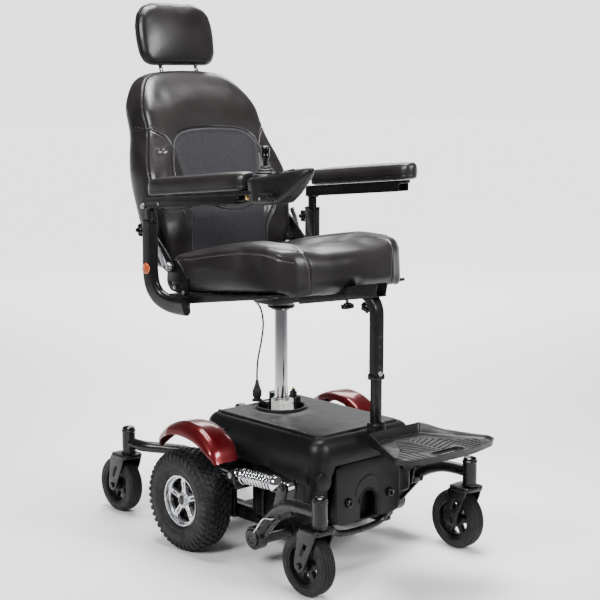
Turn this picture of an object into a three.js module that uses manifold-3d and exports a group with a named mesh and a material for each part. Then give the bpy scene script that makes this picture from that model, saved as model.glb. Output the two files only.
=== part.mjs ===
// A mid-wheel power wheelchair with six wheels, a seat on a lift column, a reclining back,
// height-adjustable flip-up armrests, a joystick pod and a central swing-down footplate.
// Millimetres, +X forward, +Y to the rider's left, +Z up. The origin is on the ground at the
// centre of the bounding box; the drive axle is AXLE_BEHIND_ORIGIN behind it.

import * as THREE from 'three';
import { mergeVertices } from 'three/addons/utils/BufferGeometryUtils.js';
import Module from 'manifold-3d';

const wasm = await Module();
wasm.setup();

// ---------- driving dimensions ----------

const AXLE_BEHIND_ORIGIN = 113.8;
const GAP = 0.3;                    // clearance between pieces that touch
const SIDES = [['right', -1], ['left', 1]];

const DRIVE = { radius: 130, width: 84, y: 258, rim: 67 };
const CASTER = { radius: 76, width: 46, trail: 38, bore: 5.4 };
const STEM = { radius: 10.7, sleeve: 18, crownTop: 168, top: 236 };
const FRONT_STEM = { x: 488, y: 258 };
const REAR_STEM = { x: -347, y: 200 };

const PIVOT_TUBE = { x: 243, z: 84, radius: 21, half: 257 };
const RAIL = { y0: 105, y1: 140, z0: 66, z1: 104, x0: -166, x1: 330 };
const SHOCK = { y: 225, rear: [147, 219], front: [342, 230], coil: 19, wire: 2.4, turns: 9, rod: 6, eye: 12 };

const HOOD = { half: 171, rear: -62, front: 385, top: 338, wall: 4 };
const FENDER = { inner: 212, outer: 302, wall: 4 };
const COLUMN = { x: 61, halfX: 20, halfY: 22.5, bottom: 100, top: 360, bore: 17.8 };
const RAM = { radius: 17.5, bottom: 305, top: 610 };

const SEAT_TILT = THREE.MathUtils.degToRad(5.5);
const CUSHION = { rear: -128, front: 338, half: 230, corner: 95 };
const RECEIVER_TILT = THREE.MathUtils.degToRad(10);
const BACK_PIVOT = { x: -95, z: 715 };
const PIVOT_PIN = 7;
const POST = { x: -124, y: 278.5, top: 830, oval: [25, 12.5] };
const STEM_BLADE = { halfX: 12, halfY: 6 };
const ARM_PIVOT = { z: 870, radius: 4 };
const ARM_TILT = THREE.MathUtils.degToRad(5.5);
const STICK = { x: 306, y: -262, z: 962, ball: 22 };
const HANGER = { x: 409, halfX: 12.5, halfY: 15, wall: 2.5, bend: 50, bottom: 471 };
const KNOB_STUB = 4;
const KNOB_HOLE = 4.9;
const FOOT_HINGE = { x: 452, z: 333, pin: 5 };

const PAINT = { color: 0x17181a, roughness: 0.42, metalness: 0.3 };
const BLACK_PLASTIC = { color: 0x121213, roughness: 0.5, metalness: 0 };
const CHROME = { color: 0xd8dadd, roughness: 0.12, metalness: 1 };
const SILVER = { color: 0xb9bbc0, roughness: 0.3, metalness: 0.9 };
const RED_GLOSS = { color: 0x6e0614, roughness: 0.12, metalness: 0.25 };
const RUBBER = { color: 0x1b1b1c, roughness: 0.85, metalness: 0 };
const LEATHER = { color: 0x2a2829, roughness: 0.38, metalness: 0 };
const WHITE_PLASTIC = { color: 0xd9d9d6, roughness: 0.4, metalness: 0 };
const AMBER = { color: 0xc4562a, roughness: 0.2, metalness: 0 };

// ---------- geometry helpers ----------

// Turns a closed geometry into a manifold solid with its faces pointing out.
function solid(geometry) {
  const bare = geometry.clone();
  for (const name of ['normal', 'uv', 'uv1']) bare.deleteAttribute(name);
  bare.clearGroups();
  const merged = mergeVertices(bare, 1e-4);
  const place = merged.attributes.position.array;
  const corners = Array.from(merged.index.array);
  const kept = [];
  let volume = 0;
  for (let i = 0; i < corners.length; i += 3) {
    const [a, b, c] = corners.slice(i, i + 3);
    if (a === b || b === c || c === a) continue;
    kept.push(a, b, c);
    const [p, q, r] = [a, b, c].map((n) => new THREE.Vector3().fromArray(place, n * 3));
    volume += p.dot(q.cross(r));
  }
  if (volume < 0) kept.reverse();
  const mesh = { numProp: 3, vertProperties: new Float32Array(place), triVerts: new Uint32Array(kept) };
  return new wasm.Manifold(new wasm.Mesh(mesh));
}

function shell(manifold) {
  const mesh = manifold.getMesh();
  const geometry = new THREE.BufferGeometry();
  geometry.setAttribute('position', new THREE.BufferAttribute(mesh.vertProperties, 3));
  geometry.setIndex(new THREE.BufferAttribute(mesh.triVerts, 1));
  return geometry;
}

function join(...pieces) {
  return shell(pieces.map(solid).reduce((a, b) => a.add(b)));
}

function cut(body, ...tools) {
  return shell(tools.map(solid).reduce((a, b) => a.subtract(b), solid(body)));
}

function common(a, b) {
  return shell(solid(a).intersect(solid(b)));
}

function box(x0, x1, y0, y1, z0, z1) {
  const block = new THREE.BoxGeometry(x1 - x0, y1 - y0, z1 - z0);
  return block.translate((x0 + x1) / 2, (y0 + y1) / 2, (z0 + z1) / 2);
}

// A round bar between two points.
function rod(from, to, radius, sides = 14) {
  const a = new THREE.Vector3(...from);
  const b = new THREE.Vector3(...to);
  const bar = new THREE.CylinderGeometry(radius, radius, a.distanceTo(b), sides);
  const turn = new THREE.Quaternion().setFromUnitVectors(
    new THREE.Vector3(0, 1, 0), b.clone().sub(a).normalize());
  const middle = a.clone().add(b).multiplyScalar(0.5);
  return bar.applyQuaternion(turn).translate(middle.x, middle.y, middle.z);
}

const acrossY = (x, z, y0, y1, radius, sides) => rod([x, y0, z], [x, y1, z], radius, sides);
const upright = (x, y, z0, z1, radius, sides) => rod([x, y, z0], [x, y, z1], radius, sides);

function outline(points) {
  return new THREE.Shape(points.map(([u, v]) => new THREE.Vector2(u, v)));
}

function roundedRect(u0, u1, v0, v1, radius) {
  const shape = new THREE.Shape();
  shape.absarc(u1 - radius, v1 - radius, radius, 0, Math.PI / 2);
  shape.absarc(u0 + radius, v1 - radius, radius, Math.PI / 2, Math.PI);
  shape.absarc(u0 + radius, v0 + radius, radius, Math.PI, Math.PI * 1.5);
  shape.absarc(u1 - radius, v0 + radius, radius, Math.PI * 1.5, Math.PI * 2);
  return shape;
}

function circle(radius) {
  return new THREE.Shape().absarc(0, 0, radius, 0, Math.PI * 2);
}

const extrude = (shape, depth, curveSegments = 6) =>
  new THREE.ExtrudeGeometry(shape, { depth, bevelEnabled: false, curveSegments });

// Side outline (x, z) carried across Y, front outline (y, z) along X, plan outline (x, y) up Z.
const sideSlab = (shape, y0, y1, segments) =>
  extrude(shape, y1 - y0, segments).rotateX(Math.PI / 2).translate(0, y1, 0);
const frontSlab = (shape, x0, x1, segments) =>
  extrude(shape, x1 - x0, segments).applyMatrix4(new THREE.Matrix4().makeBasis(
    new THREE.Vector3(0, 1, 0), new THREE.Vector3(0, 0, 1), new THREE.Vector3(1, 0, 0),
  )).translate(x0, 0, 0);
const planSlab = (shape, z0, z1, segments) => extrude(shape, z1 - z0, segments).translate(0, 0, z0);

function tube(points, section, steps, curveSegments = 4) {
  const path = new THREE.CatmullRomCurve3(points.map((p) => new THREE.Vector3(...p)), false, 'centripetal');
  return new THREE.ExtrudeGeometry(section, { steps, extrudePath: path, bevelEnabled: false, curveSegments });
}

// A body of revolution about a Y axis through (x, z), from [radius, y] points.
function turnedY(profile, x, y, z, sides) {
  const ring = new THREE.LatheGeometry(profile.map(([r, h]) => new THREE.Vector2(r, h)), sides);
  return ring.translate(x, y, z);
}

function turnedZ(profile, x, y, z, sides) {
  const ring = new THREE.LatheGeometry(profile.map(([r, h]) => new THREE.Vector2(r, h)), sides);
  return ring.rotateX(Math.PI / 2).translate(x, y, z);
}

// Mirrors an inner-to-outer Y interval to the chosen side.
const span = (side, inner, outer) => (side > 0 ? [inner, outer] : [-outer, -inner]);

const chair = new THREE.Group();
chair.position.x = -AXLE_BEHIND_ORIGIN;

function add(name, geometry, look) {
  geometry.computeVertexNormals();
  const mesh = new THREE.Mesh(geometry, new THREE.MeshStandardMaterial(look));
  mesh.name = name;
  chair.add(mesh);
}

// ---------- chassis ----------

function casterSleeve(x, y) {
  return upright(x, y, STEM.crownTop + GAP, STEM.top, STEM.sleeve);
}

function rearArm(side) {
  const points = [[-152, 95, 150], [-190, 106, 184], [-240, 150, 194], [-290, 190, 198],
    [REAR_STEM.x, REAR_STEM.y, 200]].map(([x, y, z]) => [x, y * side, z]);
  return tube(points, circle(15), 8, 3);
}

function motorPlate(side) {
  const [y0, y1] = span(side, RAIL.y1 - 4, RAIL.y1 + 8);
  return box(-40, 44, y0, y1, RAIL.z0, 182);
}

function shockAnchor(side) {
  const [x, z] = SHOCK.rear;
  const [u0, u1] = span(side, 146, 154);
  const upstand = box(x - 9, x + 19, u0, u1, 90, 208);
  const [b0, b1] = span(side, 146, 242);
  const beam = box(x - 9, x + 19, b0, b1, 188, 200);
  const ears = [[208, 212], [238, 242]].map(([near, far]) => {
    const [e0, e1] = span(side, near, far);
    return box(x - 9, x + 14, e0, e1, 190, z + 11);
  });
  const [p0, p1] = span(side, 208, 242);
  const foot = box(x - 9, x + 19, ...span(side, RAIL.y0, 154), 86, 100);
  return [upstand, beam, ...ears, foot, acrossY(x, z, p0, p1, 5, 12)];
}

function bumper() {
  const half = [[300, 122, 90], [344, 119, 94], [353, 104, 106], [353, 74, 84]];
  const right = half.map(([x, y, z]) => [x, -y, z]);
  return tube([...right, ...half.reverse()], circle(8), 14, 2);
}

function mainFrame() {
  const pieces = [];
  for (const [, side] of SIDES) {
    pieces.push(box(RAIL.x0, RAIL.x1, ...span(side, RAIL.y0, RAIL.y1), RAIL.z0, RAIL.z1));
    pieces.push(rearArm(side), motorPlate(side), ...shockAnchor(side));
    pieces.push(casterSleeve(REAR_STEM.x, REAR_STEM.y * side));
  }
  const { x, z, radius, half } = PIVOT_TUBE;
  pieces.push(acrossY(x, z, -half, half, radius, 20));
  pieces.push(box(RAIL.x0, RAIL.x0 + 26, -128, 128, RAIL.z0, 166));
  pieces.push(box(20, 102, -RAIL.y0 - 2, RAIL.y0 + 2, 80, 96));
  pieces.push(box(104, 348, -144, 144, 103, 107.4));
  pieces.push(bumper());
  const bores = SIDES.map(([, side]) =>
    upright(REAR_STEM.x, REAR_STEM.y * side, STEM.crownTop - 5, STEM.top + 5, STEM.radius + GAP));
  return cut(join(...pieces), ...bores);
}

function batteries() {
  const one = (side) => {
    const body = box(112, 341, ...span(side, 6, 143), 108, 288);
    const lid = box(114, 339, ...span(side, 8, 141), 288, 294);
    const posts = [132, 321].map((x) => upright(x, 75 * side, 293, 301, 7, 12));
    return [body, lid, ...posts];
  };
  const strap = box(214, 240, -20, 20, 180, 204);
  return join(...one(-1), ...one(1), strap);
}

// Right-angle gearmotor: gearbox on the axle, motor can running rearward, output shaft outward.
function gearmotor(side) {
  const gearbox = box(-42, 42, ...span(side, 148.5, 212), 88, 174);
  const can = rod([-41, 172 * side, 130], [-196, 172 * side, 130], 37, 24);
  const brake = rod([-190, 172 * side, 130], [-204, 172 * side, 130], 26, 20);
  const shaft = acrossY(0, DRIVE.radius, 205 * side, 268 * side, 10, 16);
  const flange = acrossY(0, DRIVE.radius, 210 * side, 219 * side, 30, 20);
  return join(gearbox, can, brake, shaft, flange);
}

function controllerBox() {
  const body = box(-52, 30, -92, 92, 238, 290);
  const fins = [-80, -48, -16, 16, 48, 80].map((y) => box(-50, 28, y - 4, y + 4, 288, 300));
  return join(body, ...fins);
}

// ---------- body panels ----------

function hoodBlock(inset) {
  const { half, rear, front, top } = HOOD;
  const floor = inset ? 120 : 249;
  const side = new THREE.Shape();
  side.moveTo(rear + inset, floor);
  side.lineTo(117, floor);
  side.lineTo(323, floor - 28);
  side.lineTo(front - inset, floor - 14);
  side.lineTo(front - inset, 272);
  side.quadraticCurveTo(front - inset - 6, top - inset - 12, 322, top - inset);
  side.lineTo(rear + 22, top - inset);
  side.quadraticCurveTo(rear + inset, top - inset, rear + inset, top - 24);
  const across = new THREE.Shape();
  across.moveTo(-half + inset, 60);
  across.lineTo(half - inset, 60);
  across.lineTo(half - inset, top - 44);
  across.quadraticCurveTo(half - inset, top - inset - 6, half - 46, top - inset);
  across.lineTo(46 - half, top - inset);
  across.quadraticCurveTo(inset - half, top - inset - 6, inset - half, top - 44);
  const plan = roundedRect(rear + inset, front - inset, inset - half, half - inset, 42 - inset);
  const block = common(sideSlab(side, -half - 5, half + 5, 4), frontSlab(across, rear - 5, front + 5, 4));
  return common(block, planSlab(plan, 50, 400, 3));
}

function hood() {
  const ring = join(upright(COLUMN.x, 0, HOOD.top - 3, HOOD.top + 7, 68, 28));
  const bumps = SIDES.map(([, side]) =>
    acrossY(340, 262, side * (HOOD.half - 3), side * (HOOD.half + 4), 24, 16));
  const body = join(cut(hoodBlock(0), hoodBlock(HOOD.wall)), ring, ...bumps);
  const hole = upright(COLUMN.x, 0, 200, 400, 60, 28);
  const nose = box(340, 400, -111, 111, 180, 266);
  return cut(body, hole, nose);
}

function archedRecess(x0, x1, half, z0, z1) {
  const shape = new THREE.Shape();
  shape.moveTo(-half, z0);
  shape.lineTo(half, z0);
  shape.lineTo(half, z1 - half);
  shape.absarc(0, z1 - half, half, 0, Math.PI);
  return frontSlab(shape, x0, x1, 4);
}

function frontCover() {
  const face = roundedRect(-110, 110, 113, 265, 22);
  const inner = roundedRect(-106, 106, 117, 261, 18);
  const pan = cut(frontSlab(face, 354, 388, 2), frontSlab(inner, 350, 384, 2));
  const lip = cut(archedRecess(384, 392, 36, 122, 192), archedRecess(380, 396, 30, 126, 186));
  const screws = SIDES.map(([, side]) => rod([386, 71 * side, 168], [398, 71 * side, 168], 10, 16));
  return cut(join(pan, lip, ...screws), archedRecess(370, 400, 22, 134, 178));
}

function fenderShape(inset) {
  const top = [[-112, 252], [-94, 284], [-56, 315], [-14, 334], [30, 340], [74, 334], [114, 313], [142, 286],
    [154, 258]];
  const under = [[142, 254], [116, 280], [74, 298], [24, 306], [-18, 303], [-58, 289], [-104, 250]];
  const crown = top.map(([x, z]) => {
    const away = new THREE.Vector2(x, z - 150).normalize().multiplyScalar(inset);
    return [x - away.x, z - away.y];
  });
  const lower = inset ? under.map(([x, z]) => [x * 0.96, z - 40]) : under;
  return outline([...crown, ...lower]);
}

// The fender seen from above: a narrow rear tip and a broad front lip.
function fenderPlan(side) {
  const points = [[-114, 254], [-92, 236], [-40, 216], [30, 212], [130, 214], [156, 232], [156, 284],
    [130, 302], [30, 302], [-40, 300], [-92, 288], [-114, 272]];
  return outline(points.map(([x, y]) => [x, y * side]));
}

// An inverted channel over the wheel, with an outer skirt that ends in a pointed rear tip.
function fender(side) {
  const { inner, outer, wall } = FENDER;
  const block = sideSlab(fenderShape(0), ...span(side, inner, outer));
  const body = common(block, planSlab(fenderPlan(side), 200, 400));
  const hollow = sideSlab(fenderShape(wall), ...span(side, inner + wall, outer - wall));
  const bracket = box(-20, 48, ...span(side, HOOD.half + 2, inner + wall), 300, 306);
  return join(cut(body, hollow), bracket);
}

// ---------- suspension ----------

function frontArm(side) {
  const y = (value) => value * side;
  const { x, z, radius } = PIVOT_TUBE;
  const collar = acrossY(x, z, y(226), y(254), radius + 8, 18);
  const points = [[x + 12, 240, 100], [300, 244, 150], [345, 250, 183], [400, 256, 202],
    [FRONT_STEM.x, FRONT_STEM.y, 206]].map(([u, v, w]) => [u, v * side, w]);
  const beam = tube(points, circle(15), 9, 3);
  const web = sideSlab(outline([[x, 92], [x + 20, 78], [330, 148], [318, 168]]), ...span(side, 232, 248));
  const lower = box(300, 336, ...span(side, 203, 252), 150, 166);
  const plate = outline([[302, 152], [338, 152], [354, 228], [348, 242], [336, 242], [324, 222]]);
  const ears = [[203, 207], [243, 247]].map(([near, far]) => sideSlab(plate, ...span(side, near, far)));
  const [ex, ez] = SHOCK.front;
  const pin = acrossY(ex, ez, y(203), y(247), 5, 12);
  const sleeve = casterSleeve(FRONT_STEM.x, FRONT_STEM.y * side);
  const bore = upright(FRONT_STEM.x, y(FRONT_STEM.y), STEM.crownTop - 5, STEM.top + 5, STEM.radius + GAP);
  const pivotBore = acrossY(x, z, y(200), y(270), radius + GAP, 20);
  return cut(join(collar, beam, web, lower, ...ears, pin, sleeve), bore, pivotBore);
}

const shockRear = new THREE.Vector2(...SHOCK.rear);
const shockLine = new THREE.Vector2(...SHOCK.front).sub(shockRear);
const shockLength = shockLine.length();
const shockAim = shockLine.clone().normalize();

// A point at a distance along the shock absorber's axis from its rear eye.
function alongShock(distance, side) {
  const point = shockAim.clone().multiplyScalar(distance).add(shockRear);
  return [point.x, SHOCK.y * side, point.y];
}

function shockEye(distance, side) {
  const [x, , z] = alongShock(distance, side);
  return acrossY(x, z, (SHOCK.y - 10) * side, (SHOCK.y + 10) * side, SHOCK.eye, 14);
}

function eyeBore(distance, side) {
  const [x, , z] = alongShock(distance, side);
  return acrossY(x, z, (SHOCK.y - 12) * side, (SHOCK.y + 12) * side, 7, 12);
}

function shockBody(side) {
  const neck = rod(alongShock(8, side), alongShock(34, side), 8, 12);
  const cap = rod(alongShock(30, side), alongShock(37, side), SHOCK.coil + 1, 16);
  const barrel = rod(alongShock(34, side), alongShock(100, side), 11, 14);
  const body = join(shockEye(0, side), neck, cap, barrel);
  const bore = rod(alongShock(50, side), alongShock(110, side), SHOCK.rod + GAP, 12);
  return cut(body, eyeBore(0, side), bore);
}

function shockRod(side) {
  const rodBar = rod(alongShock(72, side), alongShock(shockLength - 8, side), SHOCK.rod, 12);
  const cap = rod(alongShock(shockLength - 48, side), alongShock(shockLength - 30, side), SHOCK.coil + 2, 16);
  const neck = rod(alongShock(shockLength - 32, side), alongShock(shockLength - 8, side), 9, 12);
  return cut(join(shockEye(shockLength, side), rodBar, cap, neck), eyeBore(shockLength, side));
}

class Coil extends THREE.Curve {
  constructor(radius, length, turns) {
    super();
    Object.assign(this, { radius, length, turns });
  }

  getPoint(t, target = new THREE.Vector3()) {
    const angle = t * this.turns * Math.PI * 2;
    return target.set(Math.cos(angle) * this.radius, t * this.length, Math.sin(angle) * this.radius);
  }
}

function shockSpring(side) {
  const { wire } = SHOCK;
  const first = 37 + wire + GAP;
  const last = shockLength - 48 - wire - GAP;
  const coil = new THREE.ExtrudeGeometry(circle(wire), {
    steps: 80,
    extrudePath: new Coil(SHOCK.coil - wire, last - first, SHOCK.turns),
    bevelEnabled: false,
    curveSegments: 2,
  });
  const aim = new THREE.Quaternion().setFromUnitVectors(
    new THREE.Vector3(0, 1, 0), new THREE.Vector3(shockAim.x, 0, shockAim.y));
  return coil.applyQuaternion(aim).translate(...alongShock(first, side));
}

// ---------- wheels ----------

function driveTyre(side) {
  const { radius, width, rim, y } = DRIVE;
  const w = width / 2;
  const half = [[rim, w - 12], [rim + 9, w - 2], [radius - 22, w], [radius - 6, w - 7], [radius, w - 20]];
  const other = half.map(([r, h]) => [r, -h]);
  const profile = [...other, ...half.reverse(), other[0]];
  return turnedY(profile, 0, y * side, radius, 36);
}

function driveRim(side) {
  const { radius, rim, y, width } = DRIVE;
  const w = width / 2 - 12;
  const edge = rim - GAP;
  const section = [[edge - 7, -w], [edge, -w], [edge, w], [edge - 7, w], [edge - 7, -w]];
  const barrel = turnedY(section, 0, y * side, radius, 36);
  const hub = acrossY(0, radius, (y - 30) * side, (y + 22) * side, 20, 18);
  const cap = acrossY(0, radius, (y + 20) * side, (y + 27) * side, 13);
  const spokes = Array.from({ length: 5 }, (_, i) => {
    const bar = sideSlab(outline([[-9, 12], [9, 12], [13, 62], [-13, 62]]), ...span(side, y + 8, y + 20));
    return bar.rotateY((i * Math.PI * 2) / 5).translate(0, 0, radius);
  });
  const bore = acrossY(0, radius, 150 * side, (y + 10.3) * side, 10 + GAP, 16);
  return cut(join(barrel, hub, cap, ...spokes), bore);
}

// The fork hangs below its stem, with the axle a little behind it.
function casterFork(stem, side) {
  const x = stem.x;
  const y = stem.y * side;
  const axle = x - CASTER.trail;
  const top = STEM.crownTop;
  const crown = planSlab(roundedRect(x - 46, x + 24, y - 33, y + 33, 14), top - 11, top, 2);
  const leg = outline([[x + 14, top - 6], [x + 8, 140], [axle + 15, CASTER.radius - 4], [axle + 8, 63],
    [axle - 8, 63], [axle - 15, CASTER.radius], [x - 44, 140], [x - 44, top - 6]]);
  const legs = [-1, 1].map((way) => sideSlab(leg, ...span(way, 27, 32)).translate(0, y, 0));
  const spindle = acrossY(axle, CASTER.radius, y - 36, y + 36, CASTER.bore - GAP, 12);
  const stemBar = upright(x, y, top - 4, STEM.top + 2, STEM.radius, 14);
  const dome = [[0, 0], [STEM.sleeve - 1, 0], [STEM.sleeve - 2, 5], [10, 9], [0, 10]];
  const cap = turnedZ(dome, x, y, STEM.top + GAP, 14);
  return join(crown, ...legs, spindle, stemBar, cap);
}

function casterWheel(stem, side) {
  const w = CASTER.width / 2;
  const { radius, bore } = CASTER;
  const profile = [[bore, -w + 1], [17, -w + 1], [19, -w + 8], [46, -w + 8], [50, -w + 2],
    [radius - 6, -w + 2], [radius, -w + 12]];
  const mirrored = profile.slice().reverse().map(([r, h]) => [r, -h]);
  return turnedY([...profile, ...mirrored, profile[0]], stem.x - CASTER.trail, stem.y * side, radius, 26);
}

// ---------- lift ----------

function liftHousing() {
  const { x, halfX, halfY, bottom, top, bore } = COLUMN;
  const body = planSlab(roundedRect(x - halfX, x + halfX, -halfY, halfY, 5), bottom, top, 3);
  const drive = box(x - 40, x + 36, -38, 38, bottom, bottom + 56);
  return cut(join(body, drive, ...limitSwitch()), upright(x, 0, bottom + 3, top + 5, bore, 24));
}

function liftRam() {
  const tubeBar = upright(COLUMN.x, 0, RAM.bottom, RAM.top, RAM.radius, 24);
  const flange = upright(COLUMN.x, 0, RAM.top - 6, RAM.top + 6, 36, 24);
  return join(tubeBar, flange);
}

function limitSwitch() {
  const y = COLUMN.halfY;
  const body = box(62, 78, y - 1, y + 14, 326, 366);
  const collar = upright(70, y + 7, 365, 374, 6, 12);
  return [body, collar, upright(70, y + 7, 373, 386, 3.5, 12)];
}

function cablePlug() {
  const foot = upright(-37, 0, HOOD.top + GAP, HOOD.top + 6, 14, 20);
  const body = box(-45, -29, -8, 8, HOOD.top + 5, 374);
  return join(foot, body, upright(-37, 0, 373, 395, 5, 12));
}

const CABLE_ROUTE = [[-37, 0, 395.3], [-37, 0, 412], [-33, 0, 450], [-18, 0, 505], [-11, 0, 555],
  [-24, 0, 594], [-52, 0, 610], [-70, 0, 613], [-74, 0, 622]];

function seatCable() {
  return tube(CABLE_ROUTE, circle(2.5), 36, 4);
}

// ---------- seat ----------

const seatUnderside = (x) => 661 + (x - 68) * Math.tan(SEAT_TILT);
const receiverBottom = (x) => 624 + (x - 154) * Math.tan(RECEIVER_TILT);

const railBottom = (x) => seatUnderside(x) - 0.5 - THREE.MathUtils.mapLinear(x, -112, 280, 30, 8);

function railSlab(x0, x1, depth0, depth1, y0, y1) {
  const top = (x) => seatUnderside(x) - 0.5;
  const side = outline([[x0, top(x0) - depth0], [x1, top(x1) - depth1], [x1, top(x1)], [x0, top(x0)]]);
  return sideSlab(side, y0, y1);
}

const receiverDown = [Math.sin(RECEIVER_TILT), 0, -Math.cos(RECEIVER_TILT)];
const RECEIVER_KNOB_X = 306;

// A point on the receiver knob's axis, counted upward from the receiver's underside.
function receiverPoint(height) {
  const [aimX, , aimZ] = receiverDown;
  return [RECEIVER_KNOB_X - aimX * height, 0, receiverBottom(RECEIVER_KNOB_X) - aimZ * height];
}

function receiver() {
  const x0 = 150;
  const x1 = 427;
  const floor = receiverBottom;
  const side = outline([[x0, floor(x0)], [x1, floor(x1)], [x1, floor(x1) + 33], [x0, floor(x0) + 33]]);
  const hollow = outline([[x0 - 9, floor(x0) + 2], [x1 + 9, floor(x1) + 4], [x1 + 9, floor(x1) + 30],
    [x0 - 9, floor(x0) + 28]]);
  const mouth = box(322, 440, -15.6, 15.6, 600, 676);
  const knobHole = rod(receiverPoint(-5), receiverPoint(12), KNOB_HOLE, 8);
  return cut(sideSlab(side, -19, 19), sideSlab(hollow, -15.6, 15.6), mouth, knobHole);
}

function hingePlate(side) {
  const plate = outline([[-118, 674], [-100, 652], [-30, 645], [-30, 690], [-72, 732], [-112, 732]]);
  const holes = [-96, -62].map((x) => acrossY(x, 672, side * 225, side * 245, 4, 12));
  return cut(sideSlab(plate, ...span(side, 228, 233)), ...holes);
}

function seatFrame() {
  const pieces = [];
  for (const [, side] of SIDES) {
    pieces.push(railSlab(-112, 280, 30, 8, ...span(side, 200, 233)));
    pieces.push(hingePlate(side));
    pieces.push(acrossY(BACK_PIVOT.x, BACK_PIVOT.z, side * 229, side * 245, PIVOT_PIN, 16));
  }
  pieces.push(railSlab(-104, -70, 22, 22, -202, 202), railSlab(262, 280, 9, 9, -202, 202));
  pieces.push(railSlab(-104, 280, 4, 4, -202, 202));
  pieces.push(box(COLUMN.x - 38, COLUMN.x + 40, -60, 60, RAM.top + 6 + GAP, 656));
  pieces.push(box(152, 200, -19, 19, 650, 667));
  const body = join(...pieces);
  const slideRoom = sideSlab(outline([[146, 625], [440, 676], [440, 706], [146, 655]]), -15.6, 15.6);
  return cut(join(body, receiver()), slideRoom);
}

function cushionBlock() {
  const { rear, front, half, corner } = CUSHION;
  const side = outline([[rear, seatUnderside(rear)], [296, seatUnderside(296)], [303, 671], [318, 670],
    [331, 688], [front, 732],
    [332, 768], [308, 792], [268, 800], [180, 790], [60, 770], [-60, 754], [rear, 746]]);
  const plan = new THREE.Shape();
  plan.absarc(front - corner, half - corner, corner, 0, Math.PI / 2);
  plan.absarc(rear + 30, half - 30, 30, Math.PI / 2, Math.PI);
  plan.absarc(rear + 30, 30 - half, 30, Math.PI, Math.PI * 1.5);
  plan.absarc(front - corner, corner - half, corner, Math.PI * 1.5, Math.PI * 2);
  return common(sideSlab(side, -half - 5, half + 5), planSlab(plan, 600, 850, 4));
}

function seatCushion() {
  const frameTop = cushionBlock();
  const room = SIDES.map(([, side]) => box(-130, -20, ...span(side, 227, 240), 640, 760));
  const receiverRoom = box(290, 345, -22, 22, 640, 692);
  return cut(frameTop, ...room, receiverRoom);
}

// A flat-oval post that stands beside the seat and curves forward and inward beneath it.
function armrestPost(side) {
  const section = new THREE.Shape().absellipse(0, 0, POST.oval[1], POST.oval[0], 0, Math.PI * 2);
  const points = [[POST.x, POST.y, POST.top], [POST.x, POST.y, 760], [POST.x, POST.y, 705], [-119, 276, 668],
    [-104, 270, 642], [-80, 262, 628], [-50, 254, 622], [-16, 250, 622]].map(([x, y, z]) => [x, y * side, z]);
  const post = tube(points, section, 16, 4);
  const foot = box(-58, -16, ...span(side, 233 + GAP, 254), 612, 646);
  const [halfX, halfY] = [STEM_BLADE.halfX + GAP, STEM_BLADE.halfY + GAP];
  const socket = box(POST.x - halfX, POST.x + halfX, ...span(side, POST.y - halfY, POST.y + halfY), 690, 840);
  const knobHole = rod([-170, POST.y * side, 806], [POST.x, POST.y * side, 806], KNOB_HOLE, 8);
  return cut(join(post, foot), socket, knobHole);
}

function reflector(side) {
  const y = (POST.y + POST.oval[1] + GAP) * side;
  return acrossY(POST.x, 712, y, y + 7 * side, 15, 24);
}

// A five-lobed clamp knob on a threaded stub, pointing along -X from its stub's end.
function starKnob(tip, radius, length, aim) {
  const lobes = Array.from({ length: 5 }, (_, i) => {
    const angle = (i * Math.PI * 2) / 5;
    return rod([-length, Math.cos(angle) * radius * 0.68, Math.sin(angle) * radius * 0.68],
      [-length - 12, Math.cos(angle) * radius * 0.68, Math.sin(angle) * radius * 0.68], radius * 0.36, 8);
  });
  const core = rod([-length, 0, 0], [-length - 12, 0, 0], radius * 0.7, 10);
  const stub = rod([0, 0, 0], [-length, 0, 0], KNOB_STUB, 8);
  const turn = new THREE.Quaternion().setFromUnitVectors(
    new THREE.Vector3(-1, 0, 0), new THREE.Vector3(...aim).normalize());
  return join(core, ...lobes, stub).applyQuaternion(turn).translate(...tip);
}

// ---------- armrests ----------

function armrestStem(side) {
  const { y } = POST;
  const { halfX, halfY } = STEM_BLADE;
  const blade = box(POST.x - halfX, POST.x + halfX, ...span(side, y - halfY, y + halfY), 700, ARM_PIVOT.z);
  const head = acrossY(POST.x, ARM_PIVOT.z, side * (y - halfY), side * (y + halfY), halfX, 20);
  const hole = acrossY(POST.x, ARM_PIVOT.z, side * (y - 8), side * (y + 8), ARM_PIVOT.radius + GAP, 12);
  return cut(join(blade, head), hole);
}

const armLine = (x) => 884 + (x - POST.x) * Math.tan(ARM_TILT);

function armSlab(x0, x1, lift0, lift1, y0, y1) {
  return sideSlab(outline([[x0, armLine(x0) + lift0], [x1, armLine(x1) + lift0], [x1, armLine(x1) + lift1],
    [x0, armLine(x0) + lift1]]), y0, y1);
}

// A shallow channel under the pad: a top plate, two webs, and ears on the pivot pin.
function armrestBar(side, front, webFront) {
  const bar = armSlab(-130, front, 0, 9, ...span(side, 258, 298));
  const webs = [[258, 262], [294, 298]].map(([near, far]) =>
    armSlab(-130, webFront, -20, 1, ...span(side, near, far)));
  const ears = [[POST.y - 11, POST.y - 6.3], [POST.y + 6.3, POST.y + 11]].map(([near, far]) => {
    const arc = acrossY(POST.x, ARM_PIVOT.z, side * near, side * far, 11, 20);
    return join(arc, box(-130, -100, ...span(side, near, far), ARM_PIVOT.z + 3, 887));
  });
  const pin = acrossY(POST.x, ARM_PIVOT.z, side * (POST.y - 13), side * (POST.y + 15), ARM_PIVOT.radius, 12);
  return join(bar, ...webs, ...ears, pin);
}

function armrestPad(side, front) {
  const slab = armSlab(-102, front, 9 + GAP, 52, ...span(side, 243, 307));
  const plan = roundedRect(-102, front, ...span(side, 243, 307), 20);
  return common(slab, planSlab(plan, 800, 1100, 3));
}

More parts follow.
